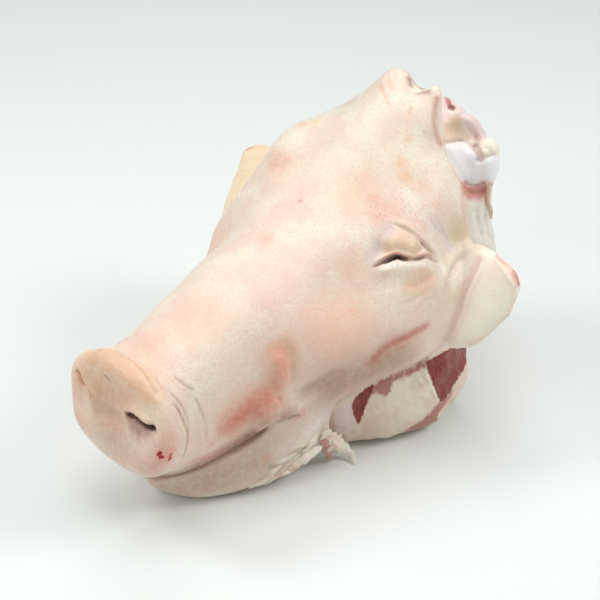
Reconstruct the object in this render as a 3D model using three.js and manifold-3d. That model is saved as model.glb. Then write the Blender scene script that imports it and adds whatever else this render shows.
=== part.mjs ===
// A pig head from the butcher, ears and neck cut away, lying on its chin and jowls.
// Millimetres: X runs to the pig's left, Y from the snout to the neck, Z up from the floor.
import * as THREE from "three";
import { mergeVertices } from "three/addons/utils/BufferGeometryUtils.js";
import Module from "manifold-3d";

const wasm = await Module();
wasm.setup();

// Gap between touching meshes
const GAP = 0.3;

// Face and upper jaw: y, top, bottom, half width, height of the widest place,
// how square the upper and lower halves are, and how much the top narrows
const FACE = [
  { y: -150, top: 102, bottom: 40, half: 38.5, mid: 71, crown: 2.2, belly: 2.2, narrow: 0 },
  { y: -144, top: 104, bottom: 36, half: 40.5, mid: 71, crown: 2.2, belly: 2.2, narrow: 0 },
  { y: -137, top: 101, bottom: 32, half: 37.5, mid: 70, crown: 2.2, belly: 2.2, narrow: 0 },
  { y: -129, top: 102, bottom: 29, half: 35, mid: 68, crown: 2.3, belly: 2.4, narrow: 0 },
  { y: -112, top: 107, bottom: 29, half: 36, mid: 66, crown: 2.3, belly: 2.8, narrow: 0 },
  { y: -95, top: 112, bottom: 33, half: 38, mid: 66, crown: 2.3, belly: 3.2, narrow: 0 },
  { y: -78, top: 118, bottom: 38, half: 41, mid: 66, crown: 2.3, belly: 3.4, narrow: 0 },
  { y: -60, top: 123, bottom: 41, half: 47, mid: 67, crown: 2.3, belly: 3.8, narrow: 0 },
  { y: -40, top: 128, bottom: 42, half: 56, mid: 68, crown: 2.2, belly: 4, narrow: 0 },
  { y: -20, top: 135, bottom: 50, half: 66, mid: 73, crown: 2.1, belly: 4.5, narrow: 0 },
  { y: 0, top: 144, bottom: 57, half: 76, mid: 78, crown: 2.1, belly: 5, narrow: 0 },
  { y: 20, top: 157, bottom: 60, half: 82, mid: 81, crown: 2, belly: 5, narrow: 0 },
  { y: 40, top: 175, bottom: 62, half: 84, mid: 84, crown: 1.8, belly: 5, narrow: 0 },
  { y: 60, top: 191, bottom: 64, half: 80, mid: 90, crown: 1.65, belly: 5, narrow: 0.05 },
  { y: 82, top: 197, bottom: 66, half: 72, mid: 95, crown: 1.65, belly: 5, narrow: 0.05 },
];

// Lower jaw from the chin to under the cheek
const JAW = [
  { y: -130, top: 40, bottom: 10, half: 20, mid: 26, crown: 2.4, belly: 2.6, narrow: 0 },
  { y: -118, top: 42, bottom: 1, half: 26, mid: 26, crown: 2.6, belly: 3, narrow: 0 },
  { y: -100, top: 44, bottom: -2, half: 34, mid: 27, crown: 3, belly: 3.6, narrow: 0 },
  { y: -80, top: 50, bottom: -2, half: 41, mid: 30, crown: 3, belly: 3.8, narrow: 0 },
  { y: -60, top: 60, bottom: -2, half: 48, mid: 34, crown: 3, belly: 3.8, narrow: 0 },
  { y: -40, top: 80, bottom: 0, half: 54, mid: 42, crown: 2.6, belly: 3.2, narrow: 0 },
  { y: -24, top: 80, bottom: 8, half: 58, mid: 48, crown: 2.4, belly: 2.6, narrow: 0 },
];

// Jowl flesh under the cheeks, and the neck stump behind the skin
const JOWL = [
  { y: -46, top: 70, bottom: 8, half: 40, mid: 36, crown: 2, belly: 3, narrow: 0 },
  { y: -20, top: 90, bottom: -2, half: 54, mid: 36, crown: 2, belly: 5, narrow: 0 },
  { y: 4, top: 98, bottom: -2, half: 69, mid: 36, crown: 2, belly: 5, narrow: 0 },
  { y: 28, top: 104, bottom: -2, half: 76, mid: 36, crown: 2, belly: 5, narrow: 0 },
  { y: 46, top: 110, bottom: -2, half: 75, mid: 36, crown: 2, belly: 5, narrow: 0 },
  { y: 64, top: 120, bottom: -2, half: 68, mid: 38, crown: 2.2, belly: 4.5, narrow: 0 },
  { y: 96, top: 120, bottom: 0, half: 62, mid: 44, crown: 2.2, belly: 3, narrow: 0 },
];
const NECK = [
  { y: 36, top: 140, bottom: 60, half: 52, mid: 98, crown: 1.9, belly: 2.4, narrow: 0 },
  { y: 62, top: 176, bottom: 50, half: 58, mid: 98, crown: 1.8, belly: 2.4, narrow: 0 },
  { y: 84, top: 186, bottom: 40, half: 60, mid: 104, crown: 2, belly: 2.4, narrow: 0 },
  { y: 102, top: 176, bottom: 30, half: 57, mid: 106, crown: 2.3, belly: 2.4, narrow: 0 },
  { y: 126, top: 160, bottom: 30, half: 52, mid: 104, crown: 2.3, belly: 2.4, narrow: 0 },
];
// The knife's plane at the neck: where it meets the floor, and how it leans back as it rises
const NECK_CUT = { y: 58, lean: 0.33 };

const KEYS = ["top", "bottom", "half", "mid", "crown", "belly", "narrow"];

// Values between the stations, smoothly joined
function along(stations) {
  const places = stations.map((s) => s.y);
  const values = stations.flatMap((s) => KEYS.map((key) => s[key]));
  const curve = new THREE.CubicInterpolant(places, values, KEYS.length);
  return (y) => {
    const found = curve.evaluate(THREE.MathUtils.clamp(y, places[0], places.at(-1)));
    return Object.fromEntries(KEYS.map((key, i) => [key, found[i]]));
  };
}

// Point of a cross-section at an angle from the top, pushed out by a clearance
function sectionPoint(s, angle, scale, clearance) {
  const power = Math.cos(angle) > 0 ? s.crown : s.belly;
  const height = Math.cos(angle) > 0 ? s.top - s.mid : s.mid - s.bottom;
  const side = Math.sign(Math.sin(angle)) * Math.abs(Math.sin(angle)) ** (2 / power);
  const rise = Math.sign(Math.cos(angle)) * Math.abs(Math.cos(angle)) ** (2 / power);
  const slim = 1 - s.narrow * Math.max(rise, 0);
  const x = side * (s.half + clearance) * slim * scale;
  const z = s.mid + rise * (height + clearance) * scale;
  return [x, z];
}

// Rings from end to end, closer together towards the ends: place from -1 to 1, and size
const LAST_RING = 0.985;
const CROWDING = 1.2;
function ringList(rings, blunt) {
  const size = (t) => (1 - Math.abs(t) ** blunt) ** (1 / blunt);
  const body = [];
  for (let i = 0; i <= rings; i += 1) {
    const even = THREE.MathUtils.lerp(-CROWDING, CROWDING, i / rings);
    body.push((LAST_RING * Math.sin(even)) / Math.sin(CROWDING));
  }
  const cap = [0, 0.35, 0.65, 0.85].map((part) => {
    const scale = part * size(LAST_RING);
    return [(1 - scale ** blunt) ** (1 / blunt), scale];
  });
  const front = cap.map(([t, scale]) => [-t, scale]);
  return [...front, ...body.map((t) => [t, size(t)]), ...cap.toReversed()];
}

// Closed body through the stations, its two ends rounded by the blunt power
function loft(stations, { around, rings, blunt, clearance = 0 }) {
  const profile = along(stations);
  const front = stations[0].y - clearance;
  const rear = stations.at(-1).y + clearance;
  const middle = (front + rear) / 2;
  const reach = (rear - front) / 2;
  const list = ringList(rings, blunt);
  const geometry = new THREE.SphereGeometry(1, around, list.length - 1);
  const position = geometry.getAttribute("position");
  const uv = geometry.getAttribute("uv");
  for (let i = 0; i < position.count; i += 1) {
    const [t, scale] = list[Math.round((1 - uv.getY(i)) * (list.length - 1))];
    const step = Math.round(uv.getX(i) * around) % around;
    const angle = -(step / around) * 2 * Math.PI - Math.PI / 2;
    const y = middle + t * reach;
    const [x, z] = sectionPoint(profile(y), angle, scale, clearance);
    position.setXYZ(i, x, y, z);
  }
  return geometry;
}

// Gaussian swellings and hollows, on both sides of the head unless a side is named
function sculpt(geometry, places) {
  const position = geometry.getAttribute("position");
  const p = new THREE.Vector3();
  for (let i = 0; i < position.count; i += 1) {
    p.fromBufferAttribute(position, i);
    const side = p.x < 0 ? -1 : 1;
    const start = [p.x * side, p.y, p.z];
    const moved = [...start];
    for (const { at, reach, push, only } of places) {
      if (only && only !== side) continue;
      const far = at.reduce((sum, c, k) => sum + ((start[k] - c) / reach[k]) ** 2, 0);
      for (let k = 0; k < 3; k += 1) moved[k] += push[k] * Math.exp(-far);
    }
    position.setXYZ(i, start[0] < 1e-6 ? 0 : side * Math.max(moved[0], 0.01), moved[1], moved[2]);
  }
  return geometry;
}

function toManifold(geometry) {
  const bare = geometry.clone();
  bare.deleteAttribute("normal");
  bare.deleteAttribute("uv");
  const merged = mergeVertices(bare, 1e-4);
  const vertProperties = new Float32Array(merged.getAttribute("position").array);
  const triVerts = new Uint32Array(merged.index.array);
  return new wasm.Manifold(new wasm.Mesh({ numProp: 3, vertProperties, triVerts }));
}

// Solid of a piece shaped on the pig's left, mirrored for its right side
function mirrored(geometry, side) {
  const solid = toManifold(geometry);
  return side > 0 ? solid : solid.mirror([1, 0, 0]);
}

function toGeometry(solid) {
  const mesh = solid.getMesh();
  const geometry = new THREE.BufferGeometry();
  geometry.setAttribute("position", new THREE.BufferAttribute(mesh.vertProperties, 3));
  geometry.setIndex(new THREE.BufferAttribute(mesh.triVerts, 1));
  geometry.computeVertexNormals();
  return geometry;
}

// Snout disc leans back at its top and tucks in under the nostrils
function leanSnout(geometry) {
  const position = geometry.getAttribute("position");
  for (let i = 0; i < position.count; i += 1) {
    const z = position.getZ(i);
    const y = position.getY(i);
    const fade = THREE.MathUtils.clamp((-122 - y) / 20, 0, 1);
    const lean = 0.3 * (z - 74) + 0.011 * Math.max(0, 66 - z) ** 2;
    position.setY(i, y + lean * fade);
  }
  return geometry;
}

// Skin flap left where each ear was cut away: a thin rounded sheet between two edges,
// each edge given by its low and its high corner; the right one was left a little larger
const FLAPS = [
  { side: 1, root: [[74, 20, 68], [64, 60, 124]], rim: [[101, 36, 70], [113, 58, 120]], thick: 9 },
  { side: -1, root: [[74, 12, 68], [64, 60, 122]], rim: [[109, 28, 70], [113, 62, 116]], thick: 9 },
];
function flap({ side, root: base, rim, thick }) {
  const [rootLow, rootHigh, rimLow, rimHigh] = [...base, ...rim].map((p) => new THREE.Vector3(...p));
  const geometry = new THREE.SphereGeometry(1, 20, 12);
  const position = geometry.getAttribute("position");
  const face = rimHigh.clone().sub(rootLow).cross(rootHigh.clone().sub(rimLow)).normalize();
  for (let i = 0; i < position.count; i += 1) {
    const [a, b, c] = [position.getX(i), position.getY(i), position.getZ(i)];
    const out = (1 + Math.sign(a) * Math.abs(a) ** 0.6) / 2;
    const up = (1 + Math.sign(b) * Math.abs(b) ** 0.5) / 2;
    const low = rootLow.clone().lerp(rimLow, out);
    const high = rootHigh.clone().lerp(rimHigh, out);
    const point = low.lerp(high, up).addScaledVector(face, c * thick * 0.5);
    position.setXYZ(i, point.x, point.y, point.z);
  }
  return mirrored(geometry, side);
}

// Shreds of skin and fat that hang at the corner of the jaw, each from a place to a place
const SHREDS = [
  { from: [46, -42, 34], to: [62, -26, 3], wide: 5, thick: 2.4 },
  { from: [44, -40, 20], to: [49, -29, 2], wide: 3.5, thick: 2 },
];
function shred({ from, to, wide, thick }, side) {
  const start = new THREE.Vector3(...from);
  const end = new THREE.Vector3(...to);
  const axis = end.clone().sub(start);
  const strip = new THREE.SphereGeometry(1, 10, 6);
  strip.scale(wide, axis.length() / 2, thick);
  const turn = new THREE.Quaternion().setFromUnitVectors(new THREE.Vector3(0, 1, 0), axis.normalize());
  strip.applyQuaternion(turn);
  const middle = start.lerp(end, 0.5);
  return mirrored(strip.translate(middle.x, middle.y, middle.z), side);
}

// Skin stops along this line at the neck; lower down it runs forward to the cheek's corner
function skinEnd(x, z) {
  const flank = THREE.MathUtils.smoothstep(Math.abs(x), 26, 54);
  const low = THREE.MathUtils.clamp((104 - z) / 36, 0, 1);
  return 78 - 16 * flank - 28 * low;
}
function neckCutter() {
  const geometry = new THREE.BoxGeometry(240, 100, 230, 24, 1, 23);
  geometry.translate(0, 130, 115);
  const position = geometry.getAttribute("position");
  for (let i = 0; i < position.count; i += 1) {
    if (position.getY(i) > 100) continue;
    position.setY(i, skinEnd(position.getX(i), position.getZ(i)));
  }
  return toManifold(geometry);
}

// Soft forms of the face that the stations leave out
const FORMS = [
  { at: [52, 8, 143], reach: [18, 20, 10], push: [1, -1, 3] },
  { at: [63, 10, 131], reach: [10, 14, 6], push: [3, -1, 2] },
  { at: [66, 6, 116], reach: [10, 16, 7], push: [2, -1, 0] },
  { at: [74, 42, 126], reach: [14, 12, 16], push: [-5, -1, -2] },
  { at: [44, -70, 53], reach: [12, 9, 9], push: [5, -2, -3] },
  { at: [43, -64, 80], reach: [12, 8, 16], push: [3, 0, 0] },
  { at: [0, 76, 196], reach: [10, 12, 14], push: [0, 1, 6] },
  { at: [28, 72, 184], reach: [11, 16, 14], push: [1, 1, 14], only: 1 },
  { at: [47, -24, 116], reach: [18, 26, 18], push: [-4, 0, -4] },
  { at: [34, 62, 176], reach: [16, 16, 16], push: [-3, 0, -5], only: -1 },
];

// Shut eyes: a ball behind each lid slit
const EYE = { at: [51, 11, 118], radius: 12 };
const LID = { at: [66, 7, 126.5], half: [9, 15, 1.3] };
function eye(side, clearance) {
  const ball = new THREE.SphereGeometry(EYE.radius + clearance, 16, 10);
  return mirrored(ball.translate(...EYE.at), side);
}
function lidSlit(side) {
  const slit = new THREE.SphereGeometry(1, 16, 8).scale(...LID.half);
  slit.rotateZ(-0.22);
  return mirrored(slit.translate(...LID.at), side);
}

const NOSTRIL = { at: [21, -150, 78], half: [11, 15, 4], tilt: -0.15 };
function nostril(side) {
  const hole = new THREE.SphereGeometry(1, 16, 10).scale(...NOSTRIL.half);
  hole.rotateY(NOSTRIL.tilt);
  return mirrored(hole.translate(...NOSTRIL.at), side);
}

// Lumps of fat and gristle where the ears were cut from the flesh, each on its side
const LUMPS = [
  { side: 1, at: [38, 92, 171], half: [8, 15, 7], tilt: -0.7 },
  { side: 1, at: [52, 89, 159], half: [8, 9, 8], tilt: 0 },
  { side: 1, at: [55, 90, 147], half: [7, 9, 11], tilt: 0 },
  { side: 1, at: [58, 88, 129], half: [4, 5, 13], tilt: 0 },
  { side: -1, at: [52, 88, 148], half: [8, 10, 9], tilt: 0 },
  { side: -1, at: [57, 86, 132], half: [6, 9, 11], tilt: 0 },
];
function lump({ side, at, half, tilt }, clearance) {
  const body = new THREE.SphereGeometry(1, 12, 8).scale(...half.map((h) => h + clearance));
  body.rotateX(tilt);
  return mirrored(body.translate(...at), side);
}

// Half-space behind the knife's plane
function behindNeck(clearance) {
  const block = new THREE.BoxGeometry(300, 200, 500).translate(0, 100 + clearance, 0);
  return toManifold(block.rotateX(-Math.atan(NECK_CUT.lean)).translate(0, NECK_CUT.y, 0));
}

function flesh(clearance) {
  const jowl = toManifold(loft(JOWL, { around: 36, rings: 14, blunt: 5, clearance }));
  const neck = toManifold(loft(NECK, { around: 32, rings: 9, blunt: 5, clearance }));
  const trimmed = jowl.add(neck).subtract(behindNeck(clearance));
  return LUMPS.reduce((body, place) => body.add(lump(place, clearance)), trimmed);
}

const face = toManifold(sculpt(leanSnout(loft(FACE, { around: 48, rings: 34, blunt: 22 })), FORMS));
const jaw = toManifold(loft(JAW, { around: 32, rings: 13, blunt: 5 }));
const below = toManifold(new THREE.BoxGeometry(400, 400, 40).translate(0, 0, -20));
let skin = face.subtract(neckCutter()).add(jaw);
for (const sheet of FLAPS) skin = skin.add(flap(sheet));
for (const side of [1, -1]) {
  for (const strip of SHREDS) skin = skin.add(shred(strip, side));
  skin = skin.subtract(eye(side, GAP)).subtract(lidSlit(side)).subtract(nostril(side));
}
skin = skin.subtract(flesh(GAP)).subtract(below).simplify(0.05);
const core = flesh(0).subtract(below).simplify(0.05);

const root = new THREE.Group();
function piece(name, solid, colour, roughness) {
  const material = new THREE.MeshStandardMaterial({ color: colour, roughness, metalness: 0 });
  const mesh = new THREE.Mesh(toGeometry(solid), material);
  mesh.name = name;
  root.add(mesh);
}
piece("head", skin, 0xeccdb6, 0.45);
piece("flesh", core, 0xc9a79a, 0.4);
piece("eye_left", eye(1, 0), 0x4a3040, 0.15);
piece("eye_right", eye(-1, 0), 0x4a3040, 0.15);

// Origin at the middle of the outer box, on the floor
const box = new THREE.Box3().setFromObject(root);
root.position.set(-(box.min.x + box.max.x) / 2, -(box.min.y + box.max.y) / 2, -box.min.z);

export default root;
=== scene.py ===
import math

import bmesh
import bpy
import numpy as np
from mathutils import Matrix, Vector
from mathutils.bvhtree import BVHTree


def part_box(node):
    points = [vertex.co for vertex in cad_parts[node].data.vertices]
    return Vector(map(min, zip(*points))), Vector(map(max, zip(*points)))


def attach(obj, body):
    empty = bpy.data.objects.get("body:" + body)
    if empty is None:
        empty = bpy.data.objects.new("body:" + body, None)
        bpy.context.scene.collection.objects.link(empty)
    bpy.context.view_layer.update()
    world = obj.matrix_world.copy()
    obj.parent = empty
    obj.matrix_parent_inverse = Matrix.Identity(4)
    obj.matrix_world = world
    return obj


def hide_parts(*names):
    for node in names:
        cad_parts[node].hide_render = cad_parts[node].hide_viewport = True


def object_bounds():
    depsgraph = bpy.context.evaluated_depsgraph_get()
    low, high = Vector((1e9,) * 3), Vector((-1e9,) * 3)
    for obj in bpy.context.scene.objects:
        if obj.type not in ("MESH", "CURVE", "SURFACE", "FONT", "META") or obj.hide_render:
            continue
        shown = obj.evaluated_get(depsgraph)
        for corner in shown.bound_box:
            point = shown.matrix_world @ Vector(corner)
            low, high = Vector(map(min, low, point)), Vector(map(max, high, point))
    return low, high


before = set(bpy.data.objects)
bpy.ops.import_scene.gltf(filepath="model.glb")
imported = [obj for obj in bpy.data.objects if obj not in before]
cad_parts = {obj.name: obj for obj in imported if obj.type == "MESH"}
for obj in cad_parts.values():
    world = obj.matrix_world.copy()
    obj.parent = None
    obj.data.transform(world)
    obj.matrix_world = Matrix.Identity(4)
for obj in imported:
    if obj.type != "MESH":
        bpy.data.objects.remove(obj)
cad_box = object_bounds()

# Places are in the pig's own millimetres, as in the solids:
# X to the pig's left, Y from snout to neck, Z up from the floor
MM = 0.001
EYE_PLACE = np.array([51.0, 11.0, 118.0])
EYE_RADIUS = 12.0
EYE_BALL = 10.6
ORIGIN = np.mean([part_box("eye_left")[0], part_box("eye_left")[1]], axis=0) / MM - EYE_PLACE
# Sides of the pig that a form is made on: the one that faces the camera, the other, or both
NEAR, FAR, BOTH = (1,), (-1,), (1, -1)

# Camera where the photograph was taken from, in the scene's own frame. Its picture is 600 pixels
# square, and the focal length is in those pixels
CAMERA_TARGET = Vector((12.67, 1.43, 90)) * MM
CAMERA_TURN = math.radians(44.5)
CAMERA_RISE = math.radians(34.5)
CAMERA_DISTANCE = 0.9
CAMERA_LENS = 94.5
SENSOR = 36
PHOTO_SIZE = 600
PHOTO_MIDDLE = PHOTO_SIZE / 2
FOCAL = CAMERA_LENS / SENSOR * PHOTO_SIZE
BACK = Vector((math.sin(CAMERA_TURN) * math.cos(CAMERA_RISE),
               -math.cos(CAMERA_TURN) * math.cos(CAMERA_RISE),
               math.sin(CAMERA_RISE)))
RIGHT = Vector((math.cos(CAMERA_TURN), math.sin(CAMERA_TURN), 0))
UP = BACK.cross(RIGHT)
CAMERA_PLACE = CAMERA_TARGET + BACK * CAMERA_DISTANCE

# Size of the even quads that the skin and flesh are remeshed to, in millimetres
SKIN_VOXEL = 2.1
FLESH_VOXEL = 1.5
# How far inside the solids' outer box every point stays
BOX_MARGIN = 0.05
# Shares of the way to the frame's middle that are tried, in turn, where a pixel lies off the piece
PULLS = np.arange(0, 0.2, 0.004)


def metres(place):
    """Scene place, in metres, of a place in the pig's millimetres"""
    return Vector((np.array(place, float) + ORIGIN) * MM)


def smoothstep(low, high, value):
    t = np.clip((value - low) / (high - low), 0, 1)
    return t * t * (3 - 2 * t)


def bell(distance, width):
    """1 at no distance, and about a third at the width"""
    return np.exp(-((distance / width) ** 2))


def fade_ends(along, fade):
    """1 along a line, down to 0 over a share of it at each end"""
    return smoothstep(0, fade, along) * smoothstep(0, fade, 1 - along)


def smooth_line(points, steps=6):
    """Catmull-Rom curve through the points"""
    p = np.vstack([2 * points[0] - points[1], points, 2 * points[-1] - points[-2]])
    line = []
    for a, b, c, d in zip(p, p[1:], p[2:], p[3:]):
        for t in np.arange(steps) / steps:
            line.append(0.5 * (2 * b + (c - a) * t + (2 * a - 5 * b + 4 * c - d) * t ** 2
                               + (3 * b - a - 3 * c + d) * t ** 3))
    line.append(p[-2])
    return np.array(line)


# Pieces

def new_object(name, mesh):
    piece = bpy.data.objects.new(name, mesh)
    bpy.context.scene.collection.objects.link(piece)
    return piece


def mesh_from(bm, name):
    mesh = bpy.data.meshes.new(name)
    bm.to_mesh(mesh)
    bm.free()
    return mesh


def apply_modifiers(piece):
    """Piece's mesh replaced by its modified one"""
    graph = bpy.context.evaluated_depsgraph_get()
    mesh = bpy.data.meshes.new_from_object(piece.evaluated_get(graph))
    piece.modifiers.clear()
    old = piece.data
    piece.data = mesh
    bpy.data.meshes.remove(old)


def merged_copy(node):
    """bmesh of a CAD node with its loose triangles joined"""
    bm = bmesh.new()
    bm.from_mesh(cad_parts[node].data)
    bmesh.ops.remove_doubles(bm, verts=bm.verts, dist=0.001 * MM)
    return bm


def add_plug(bm, place, half):
    """Closed ellipsoid that fills a hollow before the remesh"""
    made = bmesh.ops.create_icosphere(bm, subdivisions=3, radius=1)["verts"]
    bmesh.ops.scale(bm, vec=Vector(half) * MM, verts=made)
    bmesh.ops.translate(bm, vec=metres(place), verts=made)


def remeshed(bm, name, voxel):
    piece = new_object(name, mesh_from(bm, name))
    remesh = piece.modifiers.new("even quads", "REMESH")
    remesh.mode = "VOXEL"
    remesh.voxel_size = voxel * MM
    apply_modifiers(piece)
    return piece


# Sculpting

class Surface:
    """Points of a piece in the pig's millimetres, with what is carved and painted on them"""

    def __init__(self, piece):
        self.piece = piece
        self.masks = {}
        self.read()

    def read(self):
        mesh = self.piece.data
        flat = np.empty(len(mesh.vertices) * 3)
        mesh.vertices.foreach_get("co", flat)
        self.points = flat.reshape(-1, 3) / MM - ORIGIN
        pairs = np.empty(len(mesh.edges) * 2, int)
        mesh.edges.foreach_get("vertices", pairs)
        self.edges = pairs.reshape(-1, 2)
        self.degree = np.bincount(self.edges.ravel(), minlength=len(self.points))
        self.refresh()

    def refresh(self):
        """Writes the points to the mesh and reads its new normals"""
        mesh = self.piece.data
        mesh.vertices.foreach_set("co", ((self.points + ORIGIN) * MM).ravel())
        mesh.update()
        flat = np.empty(len(mesh.vertices) * 3)
        mesh.vertex_normals.foreach_get("vector", flat)
        self.normals = flat.reshape(-1, 3)

    def neighbour_mean(self, values):
        a, b = self.edges.T
        count = len(values)
        sums = [np.bincount(a, column[b], count) + np.bincount(b, column[a], count)
                for column in values.T]
        return np.stack(sums, axis=1) / self.degree[:, None]

    def soften(self, rounds, amount=1.0):
        """Moves every point towards the middle of its neighbours"""
        share = 0.5 * np.broadcast_to(amount, len(self.points))[:, None]
        for _ in range(rounds):
            self.points += (self.neighbour_mean(self.points) - self.points) * share
        self.refresh()

    def refine(self, chosen):
        """Splits the edges whose two ends are both chosen"""
        bm = bmesh.new()
        bm.from_mesh(self.piece.data)
        bm.verts.ensure_lookup_table()
        edges = [e for e in bm.edges if chosen[e.verts[0].index] and chosen[e.verts[1].index]]
        bmesh.ops.subdivide_edges(bm, edges=edges, cuts=1, use_grid_fill=True)
        bm.to_mesh(self.piece.data)
        bm.free()
        self.read()

    def sight(self):
        """Search tree of the surface as it is now, for places seen in the photograph"""
        self.tree = BVHTree.FromObject(self.piece, bpy.context.evaluated_depsgraph_get())

    def seen(self, pixels):
        """Places on the surface that the camera sees at these pixels of the photograph"""
        found = []
        for pixel in np.array(pixels, float):
            for pull in PULLS:
                x, y = (pixel + (PHOTO_MIDDLE - pixel) * pull - PHOTO_MIDDLE) / FOCAL
                hit = self.tree.ray_cast(CAMERA_PLACE, (RIGHT * x - UP * y - BACK).normalized())[0]
                if hit:
                    break
            found.append(np.array(hit) / MM - ORIGIN)
        return np.array(found)

    def line(self, pixels, steps=6):
        """Curve over the surface through the places that the camera sees at these pixels"""
        return smooth_line(self.seen(pixels), steps)

    def lines(self, outlines, steps=6):
        return [self.line(pixels, steps) for pixels in outlines]

    def line_rows(self, rows):
        """Table rows with the line in place of the pixels that each one begins with"""
        return [(self.line(pixels), *sizes) for pixels, *sizes in rows]

    def distance(self, place, side=1, stretch=(1, 1, 1)):
        """How far every point is from a place, in a space shrunk by stretch along the axes"""
        return np.linalg.norm((self.points * (side, 1, 1) - place) / stretch, axis=1)

    def around(self, at, reach, side):
        """Share of every point round a place: 1 in its middle, and about a third at its reach, which
        is in millimetres, one for all axes or one for each"""
        return np.exp(-np.sum(((self.points * (side, 1, 1) - at) / reach) ** 2, axis=1))

    def near(self, line, reach, side=1):
        """Points within reach of a line: their numbers, distance, place along it from 0 to 1,
        and offset to its left as seen from outside, or to its right on the pig's other side"""
        line = line * (side, 1, 1)
        inside = (self.points > line.min(0) - reach) & (self.points < line.max(0) + reach)
        numbers = np.nonzero(inside.all(axis=1))[0]
        p = self.points[numbers][:, None]
        start = line[:-1]
        span = np.diff(line, axis=0)
        length = np.linalg.norm(span, axis=1)
        t = np.clip(np.sum((p - start) * span, axis=2) / length ** 2, 0, 1)
        gap = p - (start + t[..., None] * span)
        distance = np.linalg.norm(gap, axis=2)
        best = np.argmin(distance, axis=1)
        rows = np.arange(len(numbers))
        before = np.concatenate([[0], np.cumsum(length)])
        along = (before[best] + t[rows, best] * length[best]) / before[-1]
        left = np.cross(self.normals[numbers], span[best] / length[best, None])
        across = np.sum(gap[rows, best] * left, axis=1) * side
        return numbers, distance[rows, best], along, across

    def within(self, lines, reach, sides=BOTH):
        """Which points lie within reach of these lines"""
        close = np.zeros(len(self.points), bool)
        for side in sides:
            for line in lines:
                numbers, distance, _, _ = self.near(line, reach, side)
                close[numbers] |= distance < reach
        return close

    def crease(self, line, width, depth, lip=(0, 2.0, 2.0), fade=0.2, sides=BOTH):
        """Groove along a line, with a lip beside it: the lip's height, its distance to the left of
        the line, or to the right where negative, and its width. Fade is the share of the line over
        which they die out at each end"""
        height, gap, lip_width = lip
        for side in sides:
            numbers, distance, along, across = self.near(line, 4 * max(width, lip_width), side)
            beyond = np.sqrt(np.maximum(distance ** 2 - across ** 2, 0))
            rise = height * bell(across - gap, lip_width) * bell(beyond, lip_width)
            rise = rise - depth * bell(distance, width)
            self.points[numbers] += self.normals[numbers] * (rise * fade_ends(along, fade))[:, None]

    def ridge(self, line, height, width, fade=0.2, sides=BOTH):
        """Swelling along a line"""
        self.crease(line, 1, 0, (height, 0, width), fade, sides)

    def swell(self, at, reach, push, sides=BOTH):
        """Soft push around a place, in millimetres along the three axes"""
        for side in sides:
            amount = self.around(at, reach, side)
            self.points += amount[:, None] * (np.array(push, float) * (side, 1, 1))

    def paint(self, name, numbers, amount):
        """Raises a mask to an amount from 0 to 1 at these points, where it isn't higher already"""
        mask = self.masks.setdefault(name, np.zeros(len(self.points)))
        mask[numbers] = np.maximum(mask[numbers], amount)

    def stroke(self, name, line, width, strength=1.0, fade=0.15, sides=BOTH):
        """Paints a mask along a line"""
        for side in sides:
            numbers, distance, along, _ = self.near(line, 3 * width, side)
            self.paint(name, numbers, strength * fade_ends(along, fade) * bell(distance, width))

    def blot(self, name, at, reach, strength=1.0, sides=BOTH):
        """Paints a mask round a place"""
        for side in sides:
            self.paint(name, slice(None), strength * self.around(at, reach, side))

    def keep_masks(self):
        """Writes the masks to the mesh, where the materials read them"""
        for name, mask in self.masks.items():
            attribute = self.piece.data.attributes.new(name, "FLOAT", "POINT")
            attribute.data.foreach_set("value", mask)


# Head: large forms

# The lump of the poll, the notch and lower peak beside it, and two places at the skin's cut edge
POLL_LUMP = (403, 80)
POLL_NOTCH = (415, 92)
POLL_SADDLE = (424, 95)
POLL_PEAK = (437, 95)
WOUND_UPPER = (436, 122)
WOUND_CORNER = (455, 180)
TEMPLE_HOLLOW = (457, 236)
# How far behind the front edge the notch and saddle are pressed in
NOTCH_STEPS = (3, 9, 15)
# Where the cheek turns under, and where its skin reaches down to the jaw
CHEEK_TURN = [(300, 386), (332, 366), (366, 350), (402, 334), (436, 314)]
CHEEK_TUCK = (333, 404)
# Places near the contour: pixel, reach, and push to the right and up in the photograph, in millimetres
NUDGES = [
    ((276, 152), 15, (-1.2, 1.6)), ((288, 142), 15, (-1.7, 2.4)), ((302, 134), 15, (-2.0, 2.9)),
    ((310, 120), 10, (-0.2, -0.8)), ((368, 89), 16, (0.6, -2.6)), ((347, 104), 16, (1.0, -2.2)),
    ((84, 363), 12, (-3.4, 3.2)), ((78, 376), 8, (-1.6, 0.4)), ((214, 241), 16, (7.4, -2.4)),
    ((506, 311), 10, (3.4, -2.2)), ((515, 291), 7, (2.4, -1.4)), ((502, 264), 8, (-0.8, -1.4)),
    ((240, 483), 12, (0.4, -1.5)), ((270, 473), 13, (0.8, -2.4)), ((312, 452), 12, (1.6, -2.8)),
    ((157, 484), 10, (-2.2, -1.0)), ((385, 79), 12, (-1.4, 2.4)), ((160, 305), 12, (-0.6, 1.6)),
    ((182, 492), 11, (0.0, 1.8)), ((285, 473), 8, (0.4, -1.4)), ((245, 152), 5, (-1.6, 1.0)),
    ((360, 95), 5, (-0.8, 1.6)),
]
# Level directions from the camera's side to the far side, and to the right of the photograph
AWAY = np.array((-math.sin(CAMERA_TURN), math.cos(CAMERA_TURN), 0))
ASIDE = np.array(RIGHT)


def nudge(surface, nudges):
    """Moves places near the contour, on this side only"""
    surface.sight()
    places = surface.seen([pixel for pixel, _, _ in nudges])
    for place, (_, reach, (right, up)) in zip(places, nudges):
        surface.swell(place, reach, np.array(RIGHT * right + UP * up), sides=NEAR)
    surface.refresh()


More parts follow.
